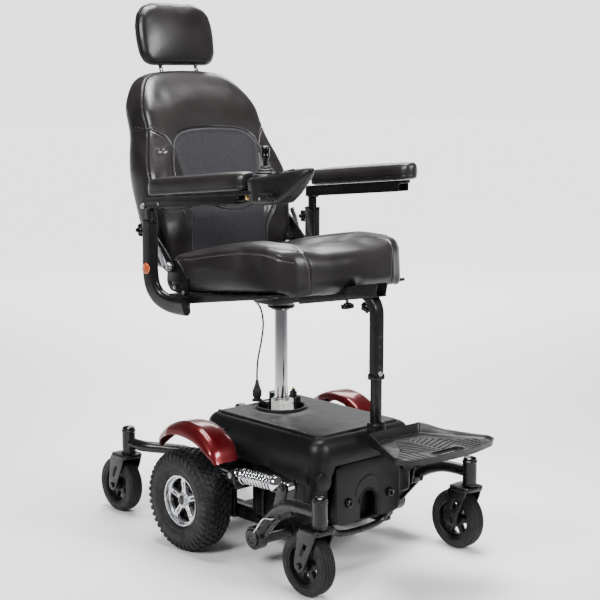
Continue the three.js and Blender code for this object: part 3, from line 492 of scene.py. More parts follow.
STEEL = surface("zinc_steel", (0.45, 0.45, 0.46), 0.38, 0.9, mottle=(50, 0.3), rough_mottle=(70, 0.1),
                bumps=[("noise", 400, 0.15, 0.1)])
CAST = surface("cast_alloy", (0.20, 0.205, 0.21), 0.5, 0.8, mottle=(40, 0.5), rough_mottle=(70, 0.1),
               bumps=[("noise", 350, 0.4, 0.3)])
CANDY = surface("candy_red", (0.095, 0.0004, 0.0025), 0.3, 0.6, mottle=(900, 0.5), rough_mottle=(12, 0.04),
                bumps=[("noise", 14, 0.02, 0.5)], Coat_Weight=0.6, Coat_Roughness=0.03)
TYRE = surface("tyre_rubber", (0.0055, 0.0055, 0.0058), 0.62, mottle=(24, 0.8), rough_mottle=(60, 0.1),
               bumps=[("noise", 800, 0.35, 0.25)], Specular_IOR_Level=0.3)
RUBBER = surface("moulded_rubber", (0.006, 0.006, 0.0062), 0.5, mottle=(30, 0.5), rough_mottle=(70, 0.08),
                 bumps=[("noise", 1100, 0.25, 0.15)])
WHITE = surface("white_plastic", (0.70, 0.70, 0.67), 0.35, mottle=(20, 0.06), rough_mottle=(40, 0.06),
                bumps=[("noise", 900, 0.1, 0.1)])
BRASS = surface("brass", (0.62, 0.40, 0.14), 0.25, 1.0, mottle=(60, 0.2), rough_mottle=(70, 0.08),
                bumps=[("noise", 500, 0.1, 0.1)])
AMBER = surface("amber_lens", (0.40, 0.065, 0.012), 0.16, mottle=(200, 0.25), rough_mottle=(50, 0.04),
                bumps=[("grain", 420, 0.6, 0.5)], Coat_Weight=0.8, Coat_Roughness=0.05)
THREAD = surface("grey_thread", (0.16, 0.155, 0.15), 0.75, mottle=(300, 0.3),
                 bumps=[("noise", 1500, 0.4, 0.2)])
GLOW = surface("signal_lens", (0.05, 0.30, 0.06), 0.2, mottle=(300, 0.3), Coat_Weight=0.6,
               Coat_Roughness=0.08)
DISPLAY = surface("display_glass", (0.004, 0.005, 0.006), 0.08, rough_mottle=(40, 0.03), Coat_Weight=1.0)


# ---------- camera ----------

CAMERA_SPOT = at(2773.2, -2379.1, 1191.8)
CAMERA_YAW, CAMERA_PITCH = math.radians(137.97), math.radians(-8.98)
CAMERA_LENS, CAMERA_SENSOR = 84.84, 36


def camera():
    data = bpy.data.cameras.new("camera")
    data.sensor_width = CAMERA_SENSOR
    data.lens = CAMERA_LENS
    data.clip_start, data.clip_end = 0.1, 60
    obj = bpy.data.objects.new("camera", data)
    bpy.context.scene.collection.objects.link(obj)
    aim = Vector((math.cos(CAMERA_YAW) * math.cos(CAMERA_PITCH),
                  math.sin(CAMERA_YAW) * math.cos(CAMERA_PITCH), math.sin(CAMERA_PITCH)))
    obj.location = CAMERA_SPOT
    obj.rotation_euler = aim.to_track_quat("-Z", "Y").to_euler()
    bpy.context.scene.camera = obj


camera()


# ---------- the cable between the hood and the seat ----------

CABLE_ROUTE = [(-37, 0, 395.3), (-37, 0, 412), (-33, 0, 450), (-18, 0, 505), (-11, 0, 555),
               (-24, 0, 594), (-52, 0, 610), (-70, 0, 613), (-74, 0, 622)]


def seat_cable():
    line = smooth_path(CABLE_ROUTE, 90)
    skin = sweep(line, round_section(2.5, 12), up=(0, 1, 0))
    obj = piece("seat_cable_skin", skin, RUBBER, "seat", "seat_cable")
    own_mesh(obj)


seat_cable()


# ---------- drive wheels ----------

def tread_block(angle, across, half_length, half_width, base, top, skew):
    """One tapered tread lug on the tyre's crown, at an angle round the axle; y runs across the tyre."""
    verts = []
    for radius, grow in ((base, 1.18), (top, 1.0)):
        for u, v in ((-1, -1), (1, -1), (1, 1), (-1, 1)):
            a = angle + (u * half_length * grow + v * skew) / radius
            y = across + v * half_width * grow
            sag = 0.5 * max(0.0, abs(y) - 20) ** 2 / 22
            r = radius - sag
            verts.append(Vector((r * math.cos(a), y, r * math.sin(a))))
    faces = [(4, 5, 6, 7), (0, 1, 5, 4), (1, 2, 6, 5), (2, 3, 7, 6), (3, 0, 4, 7), (3, 2, 1, 0)]
    return verts, faces


def drive_tyre(name, side):
    w = DRIVE_W / 2
    centre = (0, DRIVE_Y * side, DRIVE_R)
    crown = [(RIM_R, -w + 12), (RIM_R + 4, -w + 5), (RIM_R + 10, -w + 2.5), (RIM_R + 13, -w + 3.4),
             (RIM_R + 16, -w + 1.6), (RIM_R + 26, -w + 0.4), (RIM_R + 36, -w + 0.6), (RIM_R + 40, -w + 2),
             (DRIVE_R - 17, -w + 3), (DRIVE_R - 10, -w + 7), (DRIVE_R - 6, -w + 13),
             (DRIVE_R - 4.6, -w + 24), (DRIVE_R - 4, 0)]
    profile = crown + [(r, -h) for r, h in reversed(crown[:-1])] + [crown[0]]
    lugs = []
    pitches = 44
    for i in range(pitches):
        a = 2 * math.pi * i / pitches
        half = math.pi / pitches
        lugs.append(tread_block(a, 0, 5.4, 4.2, DRIVE_R - 5.5, DRIVE_R, 1.6))
        for way in (-1, 1):
            lugs.append(tread_block(a + half, 13 * way, 5.6, 4.6, DRIVE_R - 5.5, DRIVE_R - 0.1, 2.0 * way))
            lugs.append(tread_block(a, 25.5 * way, 5.8, 4.8, DRIVE_R - 5.8, DRIVE_R - 0.3, 1.2 * way))
            lugs.append(tread_block(a + half, 35.2 * way, 5.0, 3.6, DRIVE_R - 8, DRIVE_R - 2.2, 0.6 * way))
    placed = [([v + Vector(centre) for v in verts], faces) for verts, faces in lugs]
    shoulder = []
    for i in range(pitches):
        a = 2 * math.pi * (i + 0.5) / pitches
        for way in (-1, 1):
            lug = block(-4.6, 4.6, -2.4, 2.2, -9, 9, 1.2, 2)
            turn = Matrix.Rotation(-a + math.pi / 2, 3, "Y")
            spot = Vector((math.cos(a) * (DRIVE_R - 19), (w - 3.2) * way, math.sin(a) * (DRIVE_R - 19)))
            shoulder.append(([turn @ v + spot + Vector(centre) for v in lug[0]], lug[1]))
    piece(f"tyre_{name}", [lathe(profile, centre, "Y", 128)] + placed + shoulder, TYRE,
          f"drive_wheel_{name}", f"drive_tyre_{name}", angle=40)


def spoke_windows(outer, inner, count=5):
    """Openings of a star wheel: one pocket between each pair of spokes and one slot in each spoke."""
    holes = []
    for i in range(count):
        a = math.pi / 2 + 2 * math.pi * (i + 0.5) / count
        wide, narrow = 0.50, 0.27
        pocket = [(outer * math.cos(a + s), outer * math.sin(a + s)) for s in np.linspace(-wide, wide, 9)]
        pocket += [(inner * math.cos(a + s), inner * math.sin(a + s))
                   for s in np.linspace(narrow, -narrow, 4)]
        holes.append(eased(pocket, 6, 5))
        a = math.pi / 2 + 2 * math.pi * i / count
        slot = [(27, -1.3), (46, -2.1), (46, 2.1), (27, 1.3)]
        turned = [(u * math.cos(a) - v * math.sin(a), u * math.sin(a) + v * math.cos(a)) for u, v in slot]
        holes.append(eased(turned, 2, 3))
    return holes


def drive_rim(name, side):
    centre = Vector((0, DRIVE_Y * side, DRIVE_R))
    body = f"drive_wheel_{name}"
    w = DRIVE_W / 2 - 12
    edge = RIM_R - 0.4

    def placed(part):
        verts, faces = mirrored(part, side)
        return [v + centre for v in verts], faces

    lip = lathe([(edge, w - 9), (edge, w), (edge - 2, w + 1.5), (edge - 4.5, w + 1), (edge - 5.5, w - 3),
                 (edge - 6.5, w - 9), (edge, w - 9)], (0, 0, 0), "Y", 96)
    face = plate([circle(0, 0, edge - 5, 96)] + spoke_windows(edge - 11, 21), "side", 9, 20, 2.2)
    dish = [4.5 * math.sqrt(min(1.0, math.hypot(v.x, v.z) / edge)) - 3 for v in face[0]]
    star = ([Vector((v.x, v.y + d, v.z)) for v, d in zip(face[0], dish)], face[1])
    hub = lathe([(0, 27), (11, 27), (13.5, 25.5), (14, 22), (19, 21), (20, 19), (20, 4), (0, 4)],
                (0, 0, 0), "Y", 48)
    piece(f"rim_{name}", [placed(part) for part in (lip, star, hub)], SILVER, body,
          f"drive_rim_{name}", angle=30)
    inside = lathe([(edge, -w), (edge, w - 9.4), (edge - 7, w - 9.4), (edge - 8, -w + 4),
                    (edge - 2, -w - 1), (edge, -w)], (0, 0, 0), "Y", 96)
    disc = lathe([(0, 3.6), (edge - 8.4, 3.6), (edge - 8.4, -2), (21, -2), (20, -30), (0, -30)],
                 (0, 0, 0), "Y", 64)
    piece(f"rim_inside_{name}", [placed(inside), placed(disc)], PAINT, body)
    bolts = []
    for i in range(5):
        a = math.pi / 2 + 2 * math.pi * (i + 0.5) / 5
        bolts.append(drum(2.6, 18.5, 21.5, (17 * math.cos(a), 0, 17 * math.sin(a)), "Y", 0.6, 6))
    ring_cap = ring(17.5, 14.3, 21.1, 23.5, (0, 0, 0), "Y", 0.5)
    piece(f"rim_bolts_{name}", [placed(part) for part in bolts + [ring_cap]], STEEL, body)
    cap = lathe([(0, 28.6), (6, 28.4), (11, 27.2), (12.6, 25), (12.6, 20), (0, 20)], (0, 0, 0), "Y", 40)
    piece(f"hub_cap_{name}", placed(cap), SMOOTH_PLASTIC, body)


# ---------- casters ----------

def caster_pockets():
    pockets = []
    for i in range(6):
        a = math.pi * (i + 0.5) / 3
        pocket = [(41 * math.cos(a + s), 41 * math.sin(a + s)) for s in np.linspace(-0.34, 0.34, 7)]
        pocket += [(22 * math.cos(a + s), 22 * math.sin(a + s)) for s in (0.2, -0.2)]
        pockets.append(eased(pocket, 4, 4))
    return pockets


def caster_wheel(end, name, side):
    x, y = STEMS[end]
    centre = Vector((x - TRAIL, y * side, CASTER_R))
    body, node = f"{end}_wheel_{name}", f"{end}_caster_{name}"
    w = CASTER_W / 2
    tread = [(52, -w + 4), (54, -w + 1.8), (60, -w + 1), (68, -w + 1.6), (72, -w + 4.5), (74.4, -w + 8),
             (72.6, -w + 8.8), (72.6, -w + 9.8), (75.4, -w + 10.8), (76, -w + 14.4), (73.4, -w + 15.2),
             (73.4, -w + 16.2), (76, -w + 17.2), (76, -2), (73.6, -0.9)]
    profile = tread + [(r, -h) for r, h in reversed(tread)] + [tread[0]]
    piece(f"{end}_tread_{name}", lathe(profile, centre, "Y", 96), TYRE, body, node, angle=30)
    rim = [(51.8, -w + 4.4), (51.8, w - 4.4), (49.5, w - 3), (47, w - 4.5), (46, w - 9), (46, -w + 9),
           (47, -w + 4.5), (49.5, -w + 3), (51.8, -w + 4.4)]
    verts, faces = plate([circle(0, 0, 47, 64)] + caster_pockets(), "side", -7, 7, 2)
    spokes = [v + centre for v in verts], faces
    hub = lathe([(5.6, -w + 1), (13, -w + 1), (16, -w + 3), (17, -w + 9), (17, w - 9), (16, w - 3),
                 (13, w - 1), (5.6, w - 1), (5.6, -w + 1)], centre, "Y", 48)
    piece(f"{end}_hub_{name}", [lathe(rim, centre, "Y", 96), hub, spokes], PLASTIC, body)


def caster_fork(end, name, side):
    x, y = STEMS[end]
    y *= side
    axle = x - TRAIL
    body, node = f"{end}_swivel_{name}", f"{end}_fork_{name}"
    top = CROWN_TOP
    crown = plate([rounded(x - 46, x + 24, y - 33, y + 33, 15, 8)], "plan", top - 11, top, 2.5)
    leg = eased([(x + 16, top - 6), (x + 9, 138), (axle + 17, 74), (axle + 8, 62), (axle - 8, 62),
                 (axle - 17, 76), (x - 45, 138), (x - 45, top - 6)], 9, 6)
    slot = eased([(x - 22, 134), (x - 10, 132), (axle + 12, 104), (axle + 4, 104)], 4, 4)
    legs = [plate([leg, slot, circle(axle, CASTER_R, 5.4, 20)], "side", *[y + v for v in span(way, 27, 32)],
                  1.6) for way in (-1, 1)]
    gussets = [block(x - 40, x + 12, *[y + v for v in span(way, 24.6, 28.5)], top - 18, top - 9, 2.5)
               for way in (-1, 1)]
    stem = lathe([(0, top - 4), (10.7, top - 4), (10.7, STEM_TOP + 1), (0, STEM_TOP + 1)],
                 (x, y, 0), "Z", 40)
    cap_base = STEM_TOP + 0.3
    cap = lathe([(0, cap_base), (17, cap_base), (17.4, cap_base + 1.5), (16.6, cap_base + 5),
                 (13, cap_base + 8), (7, cap_base + 9.6), (0, cap_base + 10)], (x, y, 0), "Z", 48)
    piece(f"{end}_fork_frame_{name}", [crown, *legs, *gussets, stem], PAINT, body,
          node, angle=32)
    piece(f"{end}_stem_cap_{name}", cap, SMOOTH_PLASTIC, body)
    nuts = [drum(8, -2.6, 2.6, (axle, y + 34.6 * way, CASTER_R), "Y", 0.8, 6) for way in (-1, 1)]
    ends = [drum(5, -1.2, 1.2, (axle, y + 35.2 * way, CASTER_R), "Y", 0.6, 20) for way in (-1, 1)]
    spindle = bar((axle, y - 33, CASTER_R), (axle, y + 33, CASTER_R), 5)
    piece(f"{end}_axle_{name}", nuts + ends + [spindle], PAINT, body)


for wheel_name, wheel_side in SIDES:
    drive_tyre(wheel_name, wheel_side)
    drive_rim(wheel_name, wheel_side)
    for wheel_end in STEMS:
        caster_wheel(wheel_end, wheel_name, wheel_side)
        caster_fork(wheel_end, wheel_name, wheel_side)


# ---------- chassis ----------

def sleeve(x, y):
    """The tube that a caster stem turns in, with a lip at each end."""
    z0, z1 = CROWN_TOP + 0.4, STEM_TOP
    return lathe([(11.2, z0), (19, z0), (19.6, z0 + 1.5), (19.6, z0 + 6), (18, z0 + 8), (18, z1 - 7),
                  (19.2, z1 - 5.5), (19.2, z1 - 1), (18, z1), (11.2, z1), (11.2, z0)], (x, y, 0), "Z", 56)


def chassis_frame():
    parts = []
    for _, side in SIDES:
        parts.append(block(-166, 330, *span(side, 105, 140), 66, 104, 5))
        arm = [(-152, 95, 150), (-190, 106, 184), (-240, 150, 194), (-290, 190, 198), (-347, 200, 200)]
        parts.append(tube([(x, y * side, z) for x, y, z in arm], 15, 48, 28, up=(0, 0, 1)))
        parts.append(sleeve(STEMS["rear"][0], STEMS["rear"][1] * side))
        parts.append(block(-40, 44, *span(side, 136, 148), 66, 182, 2.5))
        parts.append(block(138, 166, *span(side, 146, 154), 90, 208, 2.5))
        parts.append(block(138, 166, *span(side, 146, 242), 188, 200, 2.5))
        parts.append(block(138, 166, *span(side, 105, 154), 86, 100, 2.5))
        for near, far in ((208, 212), (238, 242)):
            ear = eased([(138, 190), (163, 190), (163, 214), (152, 231), (142, 231), (138, 222)], 5)
            parts.append(plate([ear, circle(SHOCK_REAR.x, SHOCK_REAR.z, 5.2, 20)], "side",
                               *span(side, near, far), 0.8))
    parts.append(drum(PIVOT_R, -257, 257, (PIVOT_X, 0, PIVOT_Z), "Y", 2, 56))
    parts.append(block(-166, -140, -128, 128, 66, 166, 4))
    parts.append(block(20, 102, -107, 107, 80, 96, 2))
    parts.append(block(104, 348, -144, 144, 103, 107.4, 1))
    half = [(300, 122, 90), (344, 119, 94), (353, 104, 106), (353, 74, 84)]
    loop = [(x, -y, z) for x, y, z in half] + half[::-1]
    parts.append(tube(loop, 8, 90, 20, up=(0, 0, 1)))
    piece("chassis_frame", parts, PAINT, "chassis", "main_frame", angle=32)


def pivot_tube_ends():
    caps = []
    for _, side in SIDES:
        profile = [(0, 258.8), (6, 258.8), (7.5, 257.4), (11, 257.2), (12.5, 258.4), (19.6, 258),
                   (21, 256.4), (21, 254), (0, 254)]
        caps.append(mirrored(lathe(profile, (PIVOT_X, 0, PIVOT_Z), "Y", 48), side))
    piece("pivot_end_caps", caps, SMOOTH_PLASTIC, "chassis")
    bolts = [bar((147, side * 206, 219), (147, side * 245, 219), 5) for _, side in SIDES]
    heads = [drum(8, -2.4, 2.4, (147, side * 246, 219), "Y", 0.8, 6) for _, side in SIDES]
    nuts = [drum(8, -2.4, 2.4, (147, side * 205, 219), "Y", 0.8, 6) for _, side in SIDES]
    piece("shock_mount_bolts", bolts + heads + nuts, STEEL, "chassis")


def release_lever(name, side):
    """Each drive motor's brake-release lever, a bent bright strap."""
    line = smooth_path([(258, 233.5, 104), (268, 233.5, 117), (287, 233.5, 141), (296, 233.5, 148),
                        (322, 233.5, 152)], 36)
    strap = sweep([(p.x, p.y + 22, p.z) for p in line], box_section(1.6, 8, 1.2), up=(0, 0, 1))
    piece(f"release_strap_{name}", mirrored(strap, side), SILVER, f"front_arm_{name}")


chassis_frame()
pivot_tube_ends()
dress("batteries", PLASTIC, 3)
dress("controller_box", CAST, 1)


def gearmotor(name, side):
    y = 172
    parts = [block(-42, 42, 148.5, 212, 88, 174, 7), block(-30, 30, 150, 206, 170, 178, 3)]
    can = [(0, 41), (30, 41), (37, 44), (37, 160), (34, 166), (36, 168), (36, 190), (33, 194), (26, 195),
           (26, 203), (24, 204.5), (0, 204.5)]
    can = [(r, -h) for r, h in can]
    parts.append(lathe(can, (0, y, 130), "X", 56))
    parts += [ring(38.2, 36, -60 - 14 * i, -57 - 14 * i, (0, y, 130), "X", 0.6) for i in range(7)]
    shaft = [(0, 205), (30, 205), (30, 219), (10, 219.5), (10, 262), (9, 267), (0, 268)]
    parts.append(lathe(shaft, (0, 0, DRIVE_R), "Y", 48))
    for i in range(4):
        a = math.pi / 4 + math.pi / 2 * i
        parts.append(drum(4, 218, 222, (23 * math.cos(a), 0, DRIVE_R + 23 * math.sin(a)), "Y", 0.6, 6))
    piece(f"gearmotor_{name}", [mirrored(p, side) for p in parts], CAST, "chassis",
          f"motor_{name}")


# ---------- front suspension ----------

SHOCK_AIM = (SHOCK_FRONT - SHOCK_REAR).normalized()
SHOCK_LENGTH = (SHOCK_FRONT - SHOCK_REAR).length
SHOCK_TURN = SHOCK_AIM.to_track_quat("Z", "Y").to_matrix()


def on_shock(part, side):
    """Moves a part built along +Z from the shock's rear eye onto the shock's own line."""
    verts, faces = part
    start = Vector((SHOCK_REAR.x, SHOCK_Y * side, SHOCK_REAR.z))
    return [SHOCK_TURN @ Vector(v) + start for v in verts], faces


def eye(distance, side):
    spot = SHOCK_REAR + SHOCK_AIM * distance
    return ring(12, 7.4, -10, 10, (spot.x, SHOCK_Y * side, spot.z), "Y", 1.2, 40)


def bush(distance, side):
    spot = SHOCK_REAR + SHOCK_AIM * distance
    return ring(7.2, 5.4, -11.5, 11.5, (spot.x, SHOCK_Y * side, spot.z), "Y", 0.5, 32)


def front_suspension(name, side):
    arm_body = f"front_arm_{name}"
    points = [(255, 240, 100), (300, 244, 150), (345, 250, 183), (400, 256, 202), (488, 258, 206)]
    beam = tube([(x, y * side, z) for x, y, z in points], 15, 56, 28, up=(0, 0, 1))
    collar = ring(29, 21.4, *span(side, 226, 254), (PIVOT_X, 0, PIVOT_Z), "Y", 2, 56)
    web = plate([eased([(243, 96), (263, 78), (330, 148), (318, 168)], 6)], "side",
                *span(side, 236, 244), 1)
    base = block(300, 336, *span(side, 203, 252), 150, 166, 3)
    ear = eased([(302, 150), (338, 150), (355, 228), (350, 243), (335, 243), (324, 222)], 6)
    ears = [plate([ear, circle(SHOCK_FRONT.x, SHOCK_FRONT.z, 5.1, 20)], "side", *span(side, near, far), 0.9)
            for near, far in ((203, 207), (243, 247))]
    piece(f"suspension_arm_{name}", [beam, collar, web, base, *ears, sleeve(488, 258 * side)], PAINT,
          arm_body, f"front_arm_{name}", angle=32)
    pin = bar((342, 201 * side, 230), (342, 249 * side, 230), 5)
    heads = [drum(8.5, -2.8, 2.8, (342, y * side, 230), "Y", 0.8, 6) for y in (250, 200.4)]
    piece(f"suspension_bolt_{name}", [pin, *heads], SMOOTH_PLASTIC, arm_body)
    barrel_body, piston_body = f"shock_barrel_{name}", f"shock_piston_{name}"
    barrel = on_shock(lathe([(0, 9), (8, 9), (8.5, 16), (8, 28), (12, 30), (20, 30.5), (21, 32), (21, 35),
                             (19.5, 37), (11, 37), (11, 98), (10, 100), (6.6, 100), (6.6, 50), (0, 50)],
                            (0, 0, 0), "Z", 48), side)
    piece(f"shock_barrel_{name}", [eye(0, side), barrel], CHROME, barrel_body,
          f"shock_body_{name}")
    far = SHOCK_LENGTH
    piston = on_shock(lathe([(0, 72), (6, 72), (6, far - 48), (15, far - 48), (21.5, far - 47),
                             (22, far - 44), (21.5, far - 40), (17, far - 33), (12, far - 30),
                             (9, far - 26), (9, far - 12), (8, far - 9), (0, far - 9)], (0, 0, 0),
                            "Z", 48), side)
    piece(f"shock_piston_{name}", [eye(far, side), piston], CHROME, piston_body,
          f"shock_rod_{name}")
    piece(f"shock_bushes_{name}", bush(0, side), RUBBER, barrel_body)
    shock_spring(name, side)


def shock_spring(name, side):
    wire, coil_radius, turns = 2.5, 16.6, 9.5
    first, last = 37 + wire, SHOCK_LENGTH - 48 - wire
    line = []
    steps = 300
    for i in range(steps + 1):
        t = i / steps
        rise = first + (last - first) * t
        a = 2 * math.pi * turns * t
        line.append(Vector((coil_radius * math.cos(a), coil_radius * math.sin(a), rise)))
    coil = on_shock(sweep(line, round_section(wire, 12), up=(0, 0, 1)), side)
    obj = piece(f"coil_spring_{name}", coil, CHROME, f"shock_barrel_{name}",
                f"shock_spring_{name}")
    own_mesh(obj)


for part_name, part_side in SIDES:
    gearmotor(part_name, part_side)
    front_suspension(part_name, part_side)
    release_lever(part_name, part_side)


# ---------- hood and front cover ----------

def inset_rect(x0, x1, half, corner, inset, count=56):
    """A rounded rectangle pulled in all round; always the same number of points, in the same order."""
    hu, hv = (x1 - x0) / 2 - inset, half - inset
    radius = max(corner - inset * 0.8, 4)
    points = []
    for quarter, (cu, cv) in enumerate(((1, 1), (-1, 1), (-1, -1), (1, -1))):
        arc = [(cu * (hu - radius) + radius * math.cos(a), cv * (hv - radius) + radius * math.sin(a))
               for a in np.linspace(math.pi / 2 * quarter, math.pi / 2 * (quarter + 1), 13)]
        nxt = ((-1, 1), (-1, -1), (1, -1), (1, 1))[quarter]
        a = math.pi / 2 * (quarter + 1)
        end = (nxt[0] * (hu - radius) + radius * math.cos(a), nxt[1] * (hv - radius) + radius * math.sin(a))
        edge = [(arc[-1][0] + (end[0] - arc[-1][0]) * t, arc[-1][1] + (end[1] - arc[-1][1]) * t)
                for t in np.linspace(0, 1, count // 4 + 1)[1:-1]]
        points += arc + edge
    return [(u + (x0 + x1) / 2, v) for u, v in points]


def loft_rings(rings, closed):
    """Joins rings of equally many points; closed rings make a torus, open ones are left open."""
    verts = [Vector(p) for r in rings for p in r]
    n = len(rings[0])
    faces = []
    for i in range(len(rings) if closed else len(rings) - 1):
        a, b = i * n, ((i + 1) % len(rings)) * n
        faces += [(a + k, a + (k + 1) % n, b + (k + 1) % n, b + k) for k in range(n)]
    return verts, faces


def hood_lower_edge(x, y):
    if x > 340 and abs(y) < 114:
        return 267
    return float(np.interp(x, (117, 323, 385), (249, 221, 235)))


def hood_ring(inset, z):
    """The hood's outline pulled in, at one height, or along its lower edge where z is None."""
    outline = inset_rect(HOOD_REAR, HOOD_FRONT, HOOD_HALF, HOOD_CORNER, inset)
    foot = inset_rect(HOOD_REAR, HOOD_FRONT, HOOD_HALF, HOOD_CORNER, 0)
    return [(u, v, hood_lower_edge(*edge) if z is None else z) for (u, v), edge in zip(outline, foot)]


def hood():
    profile = [(0, None), (-1.5, 276), (-1.0, 292), (1.5, 306), (6, 318), (12, 326), (20, 331.5), (25, 333),
               (27, 330.5), (29.5, 330.5), (31, 334.5), (34, 337), (39, 338.2), (46, 338.4)]
    rings = [hood_ring(inset, z) for inset, z in profile]
    top = rings[-1]

    def hole(radius, z):
        return [(COLUMN_X + radius * math.cos(a), radius * math.sin(a), z)
                for a in (math.atan2(v, u - COLUMN_X) for u, v, _ in top)]
    lip = [(72, 338.4), (69, 340), (68, 343.5), (66, 345), (62, 345), (60.2, 343.5), (60, 330), (61, 328)]
    rim = hole(72, 338.4)
    for t in (0.25, 0.5, 0.75):
        rings.append([tuple(a + (b - a) * t for a, b in zip(p, q)) for p, q in zip(top, rim)])
    rings += [hole(radius, z) for radius, z in lip]
    rings += [hood_ring(inset, z) for inset, z in ((40, 332), (12, 318), (5, 300), (4, 280), (4, None))]
    piece("hood_shell", loft_rings(rings, True), HOOD_SHELL, "chassis", "hood", angle=50)
    bosses, ribs = [], []
    for _, side in SIDES:
        bosses.append(drum(25, 350, 384.5, (0, 146 * side, 232), "X", 5, 56))
        ribs.append(block(120, 318, *span(side, 168, 171.5), 254, 262, 1.6))
        ribs.append(block(60, 300, *span(side, 165, 169), 236, 248, 1.6))
        bosses.append(block(322, 372, *span(side, 118, 166), 150, 246, 9))
    piece("hood_bosses", bosses + ribs, HOOD_SHELL, "chassis", angle=40)
    spots = [(-38, 126 * side, 0) for _, side in SIDES]
    screws = [drum(4.5, 331, 335.4, spot, "Z", 1, 24) for spot in spots]
    sockets = [drum(2.2, 333, 335.7, spot, "Z", 0.3, 6) for spot in spots]
    piece("hood_screws", screws + sockets, SMOOTH_PLASTIC, "chassis")


def arch(half, z0, z1, steps=18):
    """An outline with a round top, in (y, z)."""
    points = [(-half, z0), (half, z0)]
    return points + [(half * math.cos(a), z1 - half + half * math.sin(a))
                     for a in np.linspace(0, math.pi, steps)]


def front_cover():
    rim = rounded(-110, 110, 113, 266, 24, 10)
    face = plate([rim, arch(27, 118, 186)], "front", 378, 387, 4)
    wall = plate([rim, rounded(-106, 106, 117, 262, 20, 10)], "front", 354, 382, 1.5)
    tunnel = plate([arch(30, 115, 189), arch(26.5, 118.5, 185.5)], "front", 356, 384, 1)
    floor = plate([arch(29, 116, 188)], "front", 356, 359, 1)
    lip_line = [(387.3, y, z) for y, z in arch(31, 115.5, 190)][1:]
    lip = sweep(resample([Vector(p) for p in lip_line], 60), round_section(2.6, 14), up=(1, 0, 0))
    swoop_line = [(386.6, y, z) for y, z in arch(43, 115.5, 222)][1:]
    swoop = sweep(resample([Vector(p) for p in swoop_line], 60), box_section(1.6, 4.5, 1.5), up=(1, 0, 0))
    piece("front_cover_shell", [face, wall, tunnel, floor, lip, swoop], HOOD_SHELL, "chassis",
          "front_cover", angle=40)
    knobs, sockets = [], []
    for _, side in SIDES:
        knobs.append(lathe([(0, 384), (11, 384), (11, 391), (10, 394.5), (7, 396), (5, 395.6), (4.2, 392),
                            (0, 391.6)], (0, 71 * side, 168), "X", 40))
        sockets.append(ring(13, 11.4, 386, 389, (0, 71 * side, 168), "X", 0.7))
    piece("front_cover_knobs", knobs + sockets, SMOOTH_PLASTIC, "chassis")


hood()
front_cover()


# ---------- fenders ----------

FENDER_CROWN = [(-112, 249), (-96, 282), (-58, 314), (-14, 333), (30, 340), (76, 334), (116, 313),
                (143, 286), (154, 257)]
FENDER_SKIRT = [(-110, 246), (-97, 259), (-62, 286), (-20, 301), (26, 304), (76, 297), (112, 282),
                (136, 268), (150, 253)]


def fender(name, side):
    """A domed mudguard: a crown line, an outer skirt and a pointed rear tip."""
    crown = smooth_path([(x, 0, z) for x, z in FENDER_CROWN], 60)
    skirt = smooth_path([(x, 0, z) for x, z in FENDER_SKIRT], 60)
    rings = []
    power = 2 / 2.7
    for k, (top, low) in enumerate(zip(crown, skirt)):
        t = k / 59
        inner = np.interp(t, (0, 0.1, 0.35, 0.85, 1), (256, 234, 214, 213, 224))
        outer = np.interp(t, (0, 0.1, 0.3, 0.9, 1), (268, 286, 300, 302, 294))
        ridge = inner + (outer - inner) * (0.42 + 0.1 * math.sin(math.pi * t))
        row = []
        for a in np.linspace(-math.pi / 2, math.pi / 2, 33):
            reach = abs(math.sin(a)) ** power
            drop = 1 - math.cos(a) ** power if abs(a) < math.pi / 2 - 1e-6 else 1.0
            spread = (outer - ridge) if a > 0 else (inner - ridge)
            depth = drop * (1.0 if a > 0 else 0.55)
            crease = 1.6 * math.exp(-((a - 0.35) / 0.10) ** 2) * min(1.0, (1 - t) * 2.2)
            p = top.lerp(low, depth)
            out = Vector((p.x - 15, 0, p.z - 150)).normalized() * crease
            row.append((p.x + out.x, ridge + spread * reach, p.z + out.z))
        rings.append(row)
    bm = bmesh.new()
    grid = [[bm.verts.new(p) for p in row] for row in rings]
    for a, b in zip(grid, grid[1:]):
        for k in range(len(a) - 1):
            bm.faces.new((a[k], a[k + 1], b[k + 1], b[k]))
    bmesh.ops.recalc_face_normals(bm, faces=bm.faces[:])
    bm.normal_update()
    if sum(f.normal.z for f in bm.faces) < 0:
        bmesh.ops.reverse_faces(bm, faces=bm.faces[:])
    bmesh.ops.solidify(bm, geom=bm.faces[:], thickness=3.2)
    shell = from_bmesh(bm)
    piece(f"fender_shell_{name}", mirrored(shell, side), CANDY, "chassis",
          f"fender_{name}", angle=55)
    stay = mirrored(block(-20, 48, 166, 226, 303, 308, 1.5), side)
    bolts = [mirrored(drum(5, 308, 311, (x, 196, 0), "Z", 0.8, 6), side) for x in (-8, 36)]
    piece(f"fender_stay_{name}", [stay, *bolts], PAINT, "chassis")


for part_name, part_side in SIDES:
    fender(part_name, part_side)


# ---------- lift ----------

